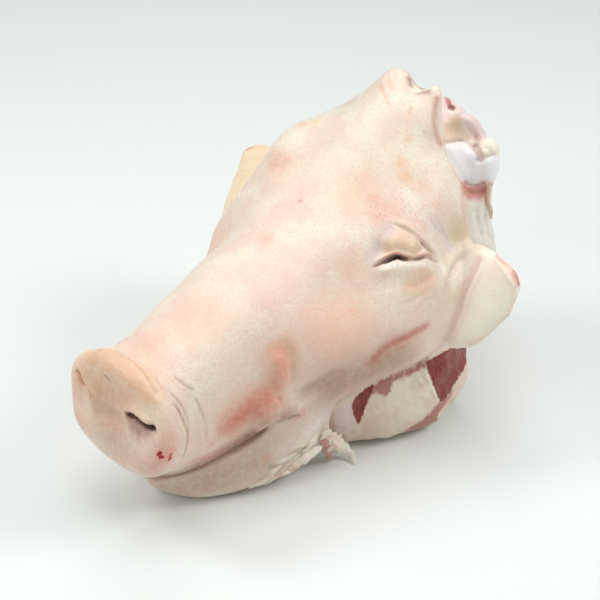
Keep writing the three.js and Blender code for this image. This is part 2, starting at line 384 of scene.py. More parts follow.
def shape_forms(skin):
    """Forms a few centimetres across, before the details are placed on them"""
    nudge(skin, NUDGES)
    skin.sight()
    turn = skin.line(CHEEK_TURN)
    lump, notch, saddle, peak = skin.seen([POLL_LUMP, POLL_NOTCH, POLL_SADDLE, POLL_PEAK])
    upper, corner, hollow, tuck = skin.seen([WOUND_UPPER, WOUND_CORNER, TEMPLE_HOLLOW, CHEEK_TUCK])
    skin.ridge(turn, 5.0, 20, fade=0.3)
    skin.swell(lump, (8, 8, 9), ASIDE * 3.2 + (0, 0, 1), sides=NEAR)
    for step in NOTCH_STEPS:
        skin.swell(notch + AWAY * step, (4.5, 4.5, 9), (0, 0, -2.6), sides=NEAR)
        skin.swell(saddle + AWAY * step, (7, 7, 9), (0, 0, -0.6), sides=NEAR)
    skin.swell(peak, (5, 5, 8), ASIDE * 1.5 + (0, 0, 6.0), sides=NEAR)
    skin.swell(upper, (10, 8, 10), (0, -5, 0))
    skin.swell(corner, (10, 9, 12), (0, 6, 0))
    skin.swell(hollow, (9, 9, 12), (-2.2, 0, -1.0))
    skin.swell(tuck, (9, 9, 9), ASIDE * 2 - (0, 0, 2))
    skin.refresh()


# Finer quads: all of the disc in front of this Y, and what lies this near to the lines of the details,
# to the middle of an eye, to the poll's notch and to the skin's cut edge above this Z
DISC_FINER = -116
LINES_REACH = 7.0
EYE_REGION, EYE_REACH = (60, 12, 127), 29
POLL_REACH = 20
CUT_REACH, CUT_LOWEST = 5, 62
# Finest quads: what lies this near to the thinnest folds, to the nostril and to the lids
FOLDS_REACH = 2.5
FINEST_REACH = 13
NOSTRIL = (20, -146, 78)
LIDS, LIDS_STRETCH = (61, 9, 124), (1, 1.3, 0.8)


def refine_details(skin):
    """Finer quads where there are details, and the finest at lids, nostril and thin folds"""
    skin.sight()
    lines = [MOUTH_LINE, CHEEK_EDGE, SLASH, FLAP_BASE, FLAP_EDGE, CHEEK_FOLD, LIP_LOBE_EDGE, *TORN_RIDGES]
    finer = skin.within(skin.lines(lines, 2), LINES_REACH)
    finer |= skin.points[:, 1] < DISC_FINER
    for side in BOTH:
        finer |= skin.distance(EYE_REGION, side) < EYE_REACH
    finer |= skin.distance(skin.seen([POLL_NOTCH])[0]) < POLL_REACH
    border = np.abs(skin.points[:, 1] - skin_end(skin.points)) < CUT_REACH
    skin.refine(finer | border & (skin.points[:, 2] > CUT_LOWEST))
    skin.sight()
    folds = [SIDE_CREASE, FAR_FOLD, UPPER_CREASE] + [pixels for pixels, _, _ in SNOUT_WRINKLES]
    lids = np.minimum(*[skin.distance(LIDS, side, LIDS_STRETCH) for side in BOTH])
    finest = np.minimum(lids, skin.distance(NOSTRIL)) < FINEST_REACH
    skin.refine(finest | skin.within(skin.lines(folds, 2), FOLDS_REACH, NEAR))


# Head: snout

RIM_GROOVE = [(104, 348), (116, 349), (130, 356), (142, 367), (151, 380), (157, 394), (160, 402)]
SIDE_CREASE = [(171, 402), (177, 408), (183, 421), (187.5, 433), (186, 447), (180, 460), (168, 471)]
RIM_ROLL = [(80, 366), (90, 359), (104, 360), (120, 370), (133, 384), (144, 398)]
DISC_VALLEY = [(92, 406), (102, 413), (113, 419), (124, 422)]
NOSTRIL_SLIT = [(124, 414.5), (130, 415.5), (137, 418.5), (144, 423), (150, 426.5), (156, 428)]
NOSTRIL_HOLLOW = [(134, 427), (140, 431), (147, 431)]
NOSTRIL_FLOOR = [(127, 430), (135, 437), (146, 441)]
NOSTRIL_EDGE = [(153, 427), (155, 432), (154, 439)]
FAR_FOLD = [(76, 369), (79, 376), (83, 384), (88, 392), (91, 400)]
FAR_HOLLOW = (79, 395)
DIMPLE = [(103, 374), (107, 378), (112, 381)]
DISC_LIP = [(118, 452), (134, 460), (152, 464), (168, 462), (180, 450)]
SNOUT_WRINKLES = [
    ([(173, 376), (180, 382), (187, 387), (195, 391)], 0.5, 0.35),
    ([(168, 390), (176, 399), (183, 409), (187, 420), (189, 433)], 0.6, 0.7),
    ([(193, 394), (199, 407), (204, 420), (206, 432), (208, 441)], 0.6, 0.6),
]


def shape_snout(skin):
    skin.sight()
    roll, valley = skin.lines([RIM_ROLL, DISC_VALLEY])
    hollows = skin.seen(NOSTRIL_HOLLOW)
    far_hollow = skin.seen([FAR_HOLLOW])[0]
    skin.ridge(roll, 2.4, 7, fade=0.25)
    skin.crease(valley, 5, 2.0, fade=0.3)
    for place in hollows:
        skin.swell(place, (5, 6, 4.5), (0, 2.6, 0.3), sides=NEAR)
    skin.swell(far_hollow, (6, 8, 10), (1.5, 3.4, 0), sides=NEAR)
    skin.refresh()
    skin.sight()
    groove, crease, slit, edge, fold = skin.lines(
        [RIM_GROOVE, SIDE_CREASE, NOSTRIL_SLIT, NOSTRIL_EDGE, FAR_FOLD])
    floor, dimple, roll, lip = skin.lines([NOSTRIL_FLOOR, DIMPLE, RIM_ROLL, DISC_LIP])
    wrinkles = skin.line_rows(SNOUT_WRINKLES)
    hollows = skin.seen(NOSTRIL_HOLLOW)
    # Painted shade at the bottom of the nostril slit
    skin.stroke("pit_shade", slit, 1.5, fade=0.08, sides=NEAR)
    skin.crease(groove, 1.1, 2.2, fade=0.12)
    skin.crease(slit, 1.1, 8.0, lip=(1.6, 3.2, 2.6), fade=0.2, sides=NEAR)
    skin.crease(edge, 1.2, 1.0, fade=0.4, sides=NEAR)
    skin.crease(fold, 1.2, 4.2, lip=(0.6, 3.0, 3), fade=0.12, sides=NEAR)
    skin.crease(dimple, 0.9, 0.7, fade=0.4, sides=NEAR)
    skin.crease(crease, 0.8, 2.2, lip=(0.9, -2.4, 2), fade=0.15)
    for line, width, depth in wrinkles:
        skin.crease(line, width, depth, lip=(0.35, 2.2, 1.8))
    skin.refresh()
    # Painted shade along the far fold
    skin.stroke("line", fold, 1.0, 1.0, fade=0.08, sides=NEAR)
    skin.stroke("pink", fold - ASIDE * 4, 3, 0.9, sides=NEAR)
    # Painted shade in the nostril's hollow below the slit, and in the hollows
    skin.stroke("purple_shade", slit - (0, 0, 2.4), 3.4, 1.0, fade=0.25, sides=NEAR)
    for place in hollows:
        skin.blot("purple_shade", place, (5, 9, 3.8), 0.9, sides=NEAR)
    skin.stroke("pink", floor, 5, 0.7, fade=0.3, sides=NEAR)
    # Painted shade along the dimple, side crease, rim groove and wrinkles
    skin.stroke("line", dimple, 0.9, 0.8, fade=0.3, sides=NEAR)
    skin.stroke("line", crease, 0.8, 0.9)
    skin.stroke("line", groove, 0.7, 0.7)
    for line, width, _ in wrinkles:
        skin.stroke("line", line, width * 0.8, 0.5)
    skin.stroke("pink", groove + (0, 3, 1), 3.2, 0.7)
    skin.stroke("tan", roll, 10, 1.0)
    skin.stroke("tan", groove - (0, 4, 0), 4, 0.9)
    skin.stroke("blush", lip, 6, 0.4, fade=0.3)


# Head: mouth

MOUTH_LINE = [(146, 477), (162, 477), (180, 473), (201, 466), (220, 457), (236, 449), (250, 440),
              (261, 431), (271, 423), (281, 420), (295, 416), (302, 414)]
CANINE_FOLD = [(281, 338), (288, 350), (292, 366), (291, 382), (286, 396)]
LIP_CORNER = (267, 408)
LIP_LOBE_EDGE = [(275, 395), (279, 400), (279, 408), (276, 416), (270, 422)]
UPPER_LIP = [(178, 465), (200, 459), (222, 449), (244, 436), (262, 422)]
BLUSH_BAND = [(273, 336), (279, 349), (281, 366), (277, 383), (265, 397), (249, 410), (231, 424),
              (211, 437)]


def shape_mouth(skin):
    skin.sight()
    line, fold, lobe, band, lip = skin.lines(
        [MOUTH_LINE, CANINE_FOLD, LIP_LOBE_EDGE, BLUSH_BAND, UPPER_LIP])
    corner = skin.seen([LIP_CORNER])[0]
    skin.swell(corner, (6, 8, 7), (4.6, -1.4, -1.4))
    skin.refresh()
    skin.crease(line, 1.3, 4.6, lip=(2.6, 4.6, 3.4), fade=0.06)
    skin.crease(fold, 3.6, 2.0, lip=(2.6, -7, 5), fade=0.3)
    skin.crease(lobe, 1.3, 3.6, lip=(2.2, -3.4, 3), fade=0.15)
    skin.refresh()
    # Painted shade along the mouth's crease, under the upper lip and in the lobe's crease
    skin.stroke("line", line, 0.9, 1.0, fade=0.05)
    skin.stroke("painted_shade", line + (0, 0, 4), 7, 1.0, fade=0.1)
    skin.stroke("line", line + (0, 0, 2.8), 4.4, 0.7, fade=0.15)
    skin.stroke("line", lobe, 0.8, 0.5)
    skin.stroke("pink", lip, 7, 1.0, fade=0.2)
    skin.stroke("blush", lip, 3.5, 0.3, fade=0.25)
    skin.stroke("blush", band, 9, 0.8, fade=0.12)
    skin.stroke("tan", band[:len(band) // 2], 10, 0.5, fade=0.12)
    skin.stroke("blush", band[len(band) // 3:], 12, 1.0, fade=0.3)
    skin.stroke("raw", band[len(band) // 2:], 8, 0.45, fade=0.28)


# Head: eyes

LID_LINE = [(371, 268), (377, 265), (383, 261.5), (390, 258), (397, 256), (404, 258), (411, 259.5),
            (418, 259), (426, 257), (433, 259.5), (440, 266)]
LID_OPENING = [(380, 263.5), (386, 260.5), (392, 258), (398, 257), (405, 259), (411, 260)]
UPPER_CREASE = [(389, 222), (399, 226), (410, 233), (418, 240), (426, 247), (434, 256), (440, 264)]
INNER_HOLLOW = [(368, 266), (374, 254), (382, 241), (390, 230), (397, 223)]
# Pale lines by the eye: whitish wrinkles at its outer corner, and a pale band along the lower lid's margin
# painted as a highlight
PALE_LINES_AND_LID_HIGHLIGHT = [
    [(431, 255), (438, 260), (443, 268), (446, 276)],
    [(372, 272), (381, 269), (390, 266), (400, 264), (412, 264.5), (426, 264), (437, 269)],
]
# How much lower the far eye's lids meet
FAR_LIDS_LOWER = 4.0
UPPER_LID = [(380, 252), (390, 243), (402, 243), (413, 248), (422, 253)]
LOWER_LID = [(385, 268), (398, 267), (411, 268), (424, 266), (433, 267)]
BAG_LINE = [(395, 284), (407, 286), (420, 284), (432, 277), (441, 270)]
BROW = [(366, 222), (380, 212), (394, 208), (408, 214), (420, 224), (430, 235)]
# Where the plugged slits are smoothed: middle, stretch, and where the smoothing begins and is full
SLIT, SLIT_STRETCH = (61, 7, 126), (1, 1.2, 1)
SLIT_SMOOTH = (16.0, 9.6)
SLIT_ROUNDS = 27
# The far eye's brow is flatter: its place, size and push
FAR_BROW = ((66, 8, 132), (13, 22, 16), (-2.5, 0, -1.5))


def flatten_lids(skin):
    """Smooths away what the remesh leaves of the plugged slits"""
    for side in BOTH:
        skin.soften(SLIT_ROUNDS, smoothstep(*SLIT_SMOOTH, skin.distance(SLIT, side, SLIT_STRETCH)))


def shape_eyes(skin):
    skin.sight()
    lids, opening, upper, inner = skin.lines([LID_LINE, LID_OPENING, UPPER_CREASE, INNER_HOLLOW])
    bulge, lower, bag, brow = skin.lines([UPPER_LID, LOWER_LID, BAG_LINE, BROW])
    pale_and_highlight_lines = skin.lines(PALE_LINES_AND_LID_HIGHLIGHT)
    skin.ridge(bulge, 3.0, 6, fade=0.3, sides=NEAR)
    skin.ridge(bulge, 1.2, 6, fade=0.3, sides=FAR)
    skin.ridge(lower, 1.1, 3.6, fade=0.3)
    skin.crease(inner, 4, 1.2, fade=0.4)
    skin.crease(bag, 2.5, 0.8, fade=0.35)
    skin.refresh()
    skin.crease(upper, 0.8, 1.9, lip=(1.4, 2.4, 2.2), fade=0.3, sides=NEAR)
    skin.crease(upper, 0.8, 1.4, lip=(0.4, 2.4, 2.2), fade=0.3, sides=FAR)
    skin.swell(*FAR_BROW, sides=FAR)
    skin.refresh()
    for side in BOTH:
        lower_by = np.array((0, 0, 0 if side > 0 else FAR_LIDS_LOWER))
        # Painted shade along the lids' line and in the opening between them
        skin.stroke("line", lids[:5 * len(lids) // 6] - lower_by, 0.8, 1.0, fade=0.08, sides=(side,))
        skin.stroke("pit_shade", opening - lower_by, 1.2, 1.0, fade=0.15, sides=(side,))
        skin.crease(lids - lower_by, 0.8, 2.2, lip=(1.0, 2.0, 1.4), fade=0.15, sides=(side,))
        skin.crease(opening - lower_by, 1.2, 4.6, fade=0.25, sides=(side,))
    skin.refresh()
    skin.stroke("blush", lids + (0, 0, 1.8), 1.2, 0.7, fade=0.2)
    # Painted shade along the upper crease
    skin.stroke("line", upper, 0.6, 0.35)
    skin.stroke("tan", bulge, 5, 0.9, sides=NEAR)
    skin.stroke("olive_and_shade", bulge, 6, 0.6, sides=NEAR)
    skin.stroke("tan", bag, 8, 0.7, fade=0.3)
    skin.stroke("blush", bag, 5, 0.14, fade=0.4)
    skin.stroke("lilac", inner, 3.4, 1.0, sides=NEAR)
    # Pale wrinkles, and the painted highlight along the lower lid's margin
    for line in pale_and_highlight_lines:
        skin.stroke("pale", line, 1.7, 0.95)
    skin.stroke("stubble", brow, 9, 1.0)
    skin.stroke("blush", brow, 8, 0.34)


# Head: brow, cheeks and flaps

CHEEK_FOLD = [(469, 249), (463, 256), (457, 264), (451, 276), (447, 290), (445, 303)]
FLAP_BASE = [(483, 254), (478, 266), (471, 281), (465, 294), (460, 311), (452, 330), (445, 344)]
FLAP_EDGE = [(499, 252), (507, 260), (514, 269), (518, 279), (520, 288)]
# Front edge of the flap's cut side, its lower edge, and the pale face that it turns to the camera, which is
# painted paler in part as painted light
FLAP_FACET = [(492, 255), (500, 265), (508, 277), (517, 290)]
FLAP_LOW = [(519, 293), (511, 312), (501, 326), (485, 337), (463, 345)]
FLAP_FACE = [(483, 252), (497, 248), (509, 257), (519, 270), (525, 290), (516, 314), (503, 330),
             (486, 341), (462, 349), (440, 352), (449, 334), (458, 312), (464, 295), (470, 281),
             (477, 266)]
# X past which the skin is a flap's, or begins to be and is all round
FLAP_INNER = 60
FLAP_OUTER = (80, 90)
# Cut edge of the cheek's skin over the jowl, and the underside above it, where shade is painted
CHEEK_EDGE = [(444, 349), (430, 357), (412, 366), (392, 374), (374, 383), (362, 393), (350, 406),
              (338, 416)]
CHEEK_UNDER = [(296, 402), (322, 394), (346, 382), (372, 371), (402, 357), (432, 342)]
# Middle of the jaw, which is painted darker as painted shade
JAW_MIDDLE = [(130, 478), (165, 486), (190, 485), (215, 478), (242, 467), (268, 452), (292, 438), (322, 426)]
# Torn membranes along the underside of the jaw
TORN_RIDGES = [
    [(246, 488), (256, 481), (266, 475), (276, 470), (284, 462), (292, 455)],
    [(266, 484), (280, 476), (292, 469), (301, 461)],
    [(260, 471), (276, 463), (291, 453), (306, 446), (320, 440)],
    [(299, 461), (312, 455), (322, 447)],
]
TORN_FLESH = [(276, 480), (291, 474), (305, 463), (318, 453)]
SLASH = [(365, 370), (372, 361), (381, 352), (400, 340), (420, 330), (434, 322)]
SLASH_LOW = [(369, 371), (378, 362), (392, 352), (410, 342)]
LOW_FOLD = [(289, 404), (300, 396), (314, 387), (329, 378), (344, 371), (358, 366)]
# Paler streaks of the brow
PALE_STREAKS = [[(262, 147), (280, 142), (300, 140), (322, 141)], [(396, 184), (410, 198), (424, 213)]]
TEMPLE_LINES = [
    [(421, 206), (428, 216), (434, 227), (443, 239), (451, 249), (458, 257)],
    [(432, 215), (441, 228), (449, 241)],
]
POLL_SCRATCHES = [
    ([(379, 82), (384, 94), (390, 107)], 0.9, 0.6),
    ([(388, 76), (390, 84), (393, 91)], 0.7, 0.3),
    ([(409, 117), (411, 109), (414, 106)], 0.8, 0.5),
]
# Painted purple shade down the right side of the lump, and along the strip in the notch
POLL_SHADES = [[(408, 76), (410, 82), (411, 88)], [(414, 92), (424, 92.5), (433, 91)]]
# Fine creases below the eye
FINE_CREASES = [
    [(396, 318), (411, 312), (424, 304), (434, 296)], [(404, 324), (418, 317), (431, 308)],
    [(400, 306), (414, 300), (427, 293)], [(440, 316), (432, 326), (420, 334)],
]
# Pale membranes stretched over the corner of the jaw
JAW_VEILS = [
    [(296, 452), (306, 444), (318, 433), (328, 424)], [(286, 452), (300, 441), (312, 430), (322, 420)],
    [(300, 436), (312, 427), (324, 415)],
]
# Cut thickness of the skin that shows beside the wound
DERMIS = [(438, 95), (435.5, 105), (434, 116), (435, 128), (438, 138), (443, 147)]
LAYER = [(444, 96), (444, 108), (444, 120), (445, 132), (447, 142)]
DERMIS_EDGE = [(443, 147), (450, 158), (456, 169), (463, 182), (467, 200), (468.5, 220), (470, 234)]
# Tints of the skin: mask, place seen in the photograph, size in millimetres and strength
WASHES = [
    ("pink", (300, 188), 24, 0.5), ("pink", (255, 225), 20, 0.45), ("pink", (275, 290), 34, 0.6),
    ("pink", (212, 310), 24, 0.65), ("pink", (330, 335), 32, 0.95), ("tan", (345, 325), 24, 0.3),
    ("pink", (392, 365), 30, 0.85), ("pink", (240, 370), 20, 0.5), ("pink", (200, 440), 16, 0.8),
    ("pink", (165, 462), 12, 0.9), ("pink", (235, 465), 26, 0.45), ("pink", (340, 395), 24, 0.9),
    ("pink", (118, 455), 16, 0.6), ("tan", (88, 380), 16, 0.9), ("tan", (125, 395), 20, 0.9),
    ("pink", (362, 200), 18, 0.5), ("pink", (150, 345), 18, 0.9), ("pink", (185, 325), 16, 0.7),
    # The dark brownish washes on the disc, chin and low cheek are painted shade
    ("painted_shade", (118, 402), 13, 0.5), ("painted_shade", (125, 440), 16, 0.4), ("painted_shade", (104, 398), 20, 0.6),
    ("painted_shade", (112, 436), 20, 0.65), ("painted_shade", (332, 388), 15, 0.3), ("pale", (282, 452), 9, 0.45),
    ("painted_shade", (146, 472), 9, 0.5), ("blush", (152, 465), 9, 0.4), ("lilac", (326, 418), 10, 0.5),
    ("tan", (232, 412), 16, 0.4), ("tan", (100, 410), 14, 0.6), ("tan", (150, 415), 14, 0.4),
    ("pink", (170, 440), 14, 0.5), ("pink", (345, 290), 26, 0.5), ("tan", (104, 390), 18, 1.0),
    ("tan", (402, 163), 4, 0.8), ("tan", (406, 176), 4.5, 0.9), ("tan", (422, 186), 6, 0.5),
    ("tan", (440, 205), 8, 0.3), ("tan", (408, 139), 2.6, 0.8), ("tan", (282, 168), 11, 0.4),
    ("olive_and_shade", (378, 148), 22, 0.3), ("tan", (350, 192), 14, 0.35), ("tan", (150, 345), 12, 0.3),
    ("tan", (200, 325), 20, 0.3), ("tan", (350, 265), 9, 0.35), ("tan", (353, 311), 6, 0.65),
    # The olive washes in the temple hollow and along the cheek fold are partly painted shade
    ("olive_and_shade", (457, 234), 10, 1.0), ("olive_and_shade", (447, 262), 8, 0.6), ("olive_and_shade", (452, 292), 9, 0.5),
    ("olive_and_shade", (415, 385), 20, 0.35), ("raw", (300, 201), 1.5, 0.8), ("blush", (267, 240), 4, 0.35),
    ("blush", (375, 201), 5, 0.35), ("blush", (266, 459), 3, 0.75), ("blush", (212, 444), 3, 0.6),
    ("blush", (170, 452), 9, 0.75), ("blush", (302, 412), 4, 0.5), ("stubble", (361, 290), 9, 0.9),
    ("stubble", (395, 286), 9, 0.6), ("pink", (494, 268), 8, 0.45),
]
# Tints closer to the middle line than this aren't mirrored
MIDDLE = 28
BLOOD_SPOTS = [((160, 453), 1.4), ((161, 457), 1.5), ((158, 455), 0.8), ((170.5, 455), 1.1),
               ((170, 459), 1.5)]
RAW_STROKES = [(SLASH, 2.4, 1.0), (SLASH_LOW, 1.0, 0.6), (FLAP_EDGE[2:], 1.8, 0.75)]


def shape_cheeks(skin):
    skin.sight()
    fold, base, slash, low, cut_edge, under, jaw = skin.lines(
        [CHEEK_FOLD, FLAP_BASE, SLASH, LOW_FOLD, CHEEK_EDGE, CHEEK_UNDER, JAW_MIDDLE])
    facet, flap_edge, flap_low = skin.lines([FLAP_FACET, FLAP_EDGE, FLAP_LOW])
    dermis, edge, layer = skin.lines([DERMIS, DERMIS_EDGE, LAYER])
    streaks, ridges, temple, poll_shades, creases, veils = [
        skin.lines(outlines) for outlines in (PALE_STREAKS, TORN_RIDGES, TEMPLE_LINES, POLL_SHADES,
                                              FINE_CREASES, JAW_VEILS)]
    raw = skin.line_rows(RAW_STROKES)
    scratches = skin.line_rows(POLL_SCRATCHES)
    torn = skin.seen(TORN_FLESH)
    washes = [(mask, skin.seen([pixel])[0], size, strength) for mask, pixel, size, strength in WASHES]
    spots = [(skin.seen([pixel])[0], size) for pixel, size in BLOOD_SPOTS]
    skin.crease(fold, 2.2, 2.0, lip=(1.0, -4, 3.5), fade=0.25)
    skin.crease(base, 1.8, 0.4, lip=(0.4, 3.0, 2), fade=0.2)
    skin.ridge(facet, 0.8, 1.2, fade=0.1)
    skin.crease(slash, 2.0, 0.9, fade=0.2)
    skin.crease(low, 3.6, 2.6, lip=(1.4, -7, 4), fade=0.3)
    for line, width, depth in scratches:
        skin.crease(line, width, depth, sides=NEAR)
        skin.stroke("tan", line, width * 1.2, 0.9, sides=NEAR)
    # Painted purple shade down the poll's lump and in the notch
    for line in poll_shades:
        skin.stroke("purple_shade", line, 1.8, 0.9, sides=NEAR)
    for line in creases:
        skin.crease(line, 1.2, 0.35, lip=(0.25, 2.2, 1.6))
    skin.stroke("dermis", dermis, 1.9, 1.0, fade=0.05)
    skin.stroke("pale", layer, 1.6, 1.0, fade=0.05)
    skin.stroke("dermis", edge, 0.9, 0.7, fade=0.1)
    for line in temple:
        skin.crease(line, 0.9, 0.5, lip=(0.4, 2, 1.5))
        skin.stroke("lilac", line, 2.2, 1.0)
    skin.stroke("pale", temple[0], 1.0, 0.8)
    for line in streaks:
        skin.stroke("pale", line, 4.5, 0.6, fade=0.4)
    for line in ridges:
        skin.crease(line, 1.4, 1.4, lip=(2.0, 1.8, 1.3))
    skin.refresh()
    # Pale torn membranes, each with a painted shadow beneath it
    for line in ridges:
        skin.stroke("pale", line, 1.8, 0.9)
        skin.stroke("line", line - (0, 0, 2.6), 1.0, 0.5)
    for place in torn:
        skin.blot("raw", place, (6, 6, 4), 0.7)
    # Painted shade on the cheek's underside and down the jaw
    skin.stroke("painted_shade", under, 13, 1.0, fade=0.3)
    skin.stroke("painted_shade", jaw, 16, 0.75, fade=0.3)
    for line in veils:
        skin.crease(line, 1.0, 0.4, lip=(0.5, 2.2, 1.6))
        skin.stroke("pale", line, 1.8, 0.6)
    paint_flaps(skin)
    skin.stroke("blush", cut_edge, 2.2, 0.5, fade=0.05)
    skin.stroke("pale", cut_edge - (0, 0, 0.8), 0.8, 0.9, fade=0.05)
    # Painted shade along the low fold
    skin.stroke("painted_shade", low, 5, 0.6, fade=0.25)
    skin.stroke("pink", base, 4, 1.0, fade=0.05)
    skin.stroke("lilac", base, 2.0, 0.4, fade=0.05)
    skin.stroke("pale", base + (1.8, 0, 0), 0.9, 0.9, fade=0.1)
    skin.stroke("tan", flap_low, 1.8, 0.6, fade=0.1)
    skin.stroke("lilac", fold, 2.0, 0.5)
    skin.stroke("pink", (facet + flap_edge[:len(facet)]) / 2, 1.8, 0.8, fade=0.1)
    skin.stroke("blush", flap_edge, 2.0, 0.7, fade=0.1)
    for line, width, strength in raw:
        skin.stroke("raw", line, width, strength)
    for mask, place, size, strength in washes:
        skin.blot(mask, place, size, strength, BOTH if place[0] > MIDDLE else NEAR)
    for place, size in spots:
        skin.blot("blood", place, size, 1.0, sides=NEAR)


def paint_flaps(skin):
    """Pale faces of the flaps, up to the fold where each one leaves the cheek: partly their paler colour,
    partly painted light on the side that faces the camera
    """
    for side, mask in ((1, "ivory_and_light"), (-1, "wax_and_light")):
        points = skin.points * (side, 1, 1)
        deep = outline_depth(photo_pixels(points), FLAP_FACE)
        facing = smoothstep(-0.1, 0.2, (skin.normals * (side, 1, 1)) @ np.array(BACK))
        face = np.clip(0.5 + deep / 3, 0, 1) * facing * (points[:, 0] > FLAP_INNER)
        skin.paint(mask, slice(None), np.maximum(face, smoothstep(*FLAP_OUTER, points[:, 0])))


# Cut edge of the skin at the neck

# Y of the edge at the top, and how much further forwards it is at the flanks and low down
END, FLANK_STEP, LOW_STEP = 78, 16, 28
# X over which the flanks begin, and the Z and height over which the low part does
FLANKS = (26, 54)
LOW_FROM, LOW_HEIGHT = 104, 36
# Z above which the thickness of the skin is bare
BARE_FROM = (62, 70)


def skin_end(points):
    """Y where the skin stops, as it was cut in the solids"""
    flank = smoothstep(*FLANKS, np.abs(points[:, 0]))
    low = np.clip((LOW_FROM - points[:, 2]) / LOW_HEIGHT, 0, 1)
    return END - FLANK_STEP * flank - LOW_STEP * low


def paint_cut(skin):
    """Bare thickness of the skin round the neck"""
    behind = skin.points[:, 1] - skin_end(skin.points)
    facing = smoothstep(0.15, 0.5, skin.normals[:, 1])
    upper = smoothstep(*BARE_FROM, skin.points[:, 2])
    skin.paint("cut", slice(None), smoothstep(-3.5, -1.5, behind) * facing * upper)


# Middle of the thin shreds at the jaw, which pieces of their own stand for
SHREDS = (53, -27, 5)
# Plugs of the eye sockets, the slits between the lids, and the nostrils: middle and half size
PLUGS = [
    (EYE_PLACE, (EYE_RADIUS + 1.2,) * 3),
    ((59.5, 7, 124.5), (5.0, 13, 2.6)),
    ((21, -142, 76), (12.5, 12, 8)),
]
# X past which a flap keeps its sharp edges, and Y in front of which the snout is smoothed further
SHARP_FLAPS = (70, 80)
SNOUT_TIP = (-122, -134)


def make_head():
    bm = merged_copy("head")
    for side in BOTH:
        for middle, half in PLUGS:
            add_plug(bm, np.array(middle) * (side, 1, 1), half)
    head = remeshed(bm, "pig_head", SKIN_VOXEL)
    skin = Surface(head)
    skin.soften(7, 1 - 0.7 * smoothstep(*SHARP_FLAPS, np.abs(skin.points[:, 0])))
    skin.soften(12, smoothstep(*SNOUT_TIP, skin.points[:, 1]))
    skin.soften(50, smoothstep(15, 9, skin.distance(SHREDS)))
    flatten_lids(skin)
    shape_forms(skin)
    refine_details(skin)
    skin.soften(2)
    shape_snout(skin)
    shape_mouth(skin)
    shape_cheeks(skin)
    shape_eyes(skin)
    paint_cut(skin)
    keep_inside(skin)
    skin.keep_masks()
    return head


def keep_inside(surface):
    """Holds every point just inside the solids' outer box"""
    low, high = [np.array(corner) / MM - ORIGIN for corner in cad_box]
    surface.points = np.clip(surface.points, low + BOX_MARGIN, high - BOX_MARGIN)
    surface.refresh()


# Flesh: jowls and neck stump

# Patches of the near side, outlined as the photograph shows them
PATCHES = {
    "veil": [
        [(331, 419), (340, 410), (350, 401), (354, 408), (358, 424), (348, 436), (336, 436), (328, 428)],
    ],
    "muscle": [
        [(356, 396), (366, 388), (374, 384), (373, 391), (369, 399), (366, 407), (363, 415), (360, 423),
         (357, 424), (354, 417), (352, 409), (353, 402)],
        [(425, 362), (440, 354), (452, 347), (468, 342), (468, 357), (464, 369), (458, 379), (452, 389),
         (447, 397), (441, 403), (437, 396), (434, 388), (430, 377)],
    ],
    "brown_and_shade": [
        [(375, 385), (381, 380), (391, 376), (392, 384), (390, 391), (385, 396), (379, 394), (375, 391)],
        [(404, 431), (414, 425), (424, 419), (432, 411), (439, 402), (446, 397), (453, 389), (452, 398),
         (446, 406), (439, 414), (437, 421), (424, 428), (410, 433)],
    ],
    "rim": [
        [(467, 345), (476, 348), (478, 362), (472, 380), (464, 394), (454, 406), (444, 416), (438, 414),
         (446, 404), (455, 390), (462, 374), (466, 360)],
    ],
    "ridge": [
        [(456, 105), (463, 107), (477, 117), (486, 130), (488, 140), (480, 143), (472, 133), (463, 122)],
        [(441, 92), (445, 98), (446, 118), (443, 136), (438, 140), (436, 124), (437, 104)],
    ],
    "amber": [
        [(446, 122), (456, 117), (463, 122), (467, 138), (456, 141), (443, 143), (441, 134)],
    ],
    "slab": [
        [(441, 145), (450, 143), (464, 141), (473, 150), (482, 166), (481, 181), (473, 186), (462, 181),
         (450, 163)],
        [(482, 160), (498, 153), (501, 166), (494, 180), (485, 183), (480, 172)],
    ],
    "cream": [
        [(476, 145), (490, 136), (499, 143), (500, 153), (487, 158), (480, 159)],
    ],
    "meat": [
        [(460, 181), (473, 187), (487, 183), (491, 192), (482, 199), (468, 199), (462, 190)],
    ],
    "band": [
        [(466, 200), (485, 201), (490, 219), (496, 236), (502, 252), (492, 252), (480, 246), (468, 240)],
    ],
}
PATCH_RISE = {
    "veil": 0, "muscle": -0.8, "brown_and_shade": 0, "rim": 0.6, "ridge": 0.6, "amber": 0, "slab": 0.8,
    "cream": 0.4, "meat": -1.6, "band": 0.6,
}
# Patches whose borders are soft. Widths are in pixels: of soft and firm borders, and of the slope
# that a patch's rise comes in over
SOFT_PATCHES = ("veil", "amber", "band", "cream", "ridge", "meat")
SOFT_BORDER, FIRM_BORDER = 12, 5
PATCH_SLOPE = 8
# Seams that run through the cut neck, and the strip that hangs beside it: pixels, width, depth, and how dark
# the painted shade in each one's gap is
SEAMS = [
    ([(441, 144), (450, 142.5), (458, 141), (465, 141)], 1.0, 1.6, 0.8),
    ([(472, 142), (476, 149), (479, 156), (481, 165)], 2.5, 2.4, 0.9),
    ([(479, 159), (487, 158), (496, 154)], 1.2, 1.5, 0.45),
    ([(482, 147), (487, 149), (492, 155)], 1.3, 0.9, 0.12),
    ([(463, 121), (472, 132), (479, 141)], 1.6, 0.8, 0.3),
    ([(447, 95), (448, 112), (445, 134)], 1.0, 0.8, 0.4),
    ([(461, 181), (473, 186), (481, 184), (488, 182)], 1.2, 1.4, 0.6),
    ([(493, 226), (496, 238), (500, 249)], 1.0, 0.6, 0.45),
]
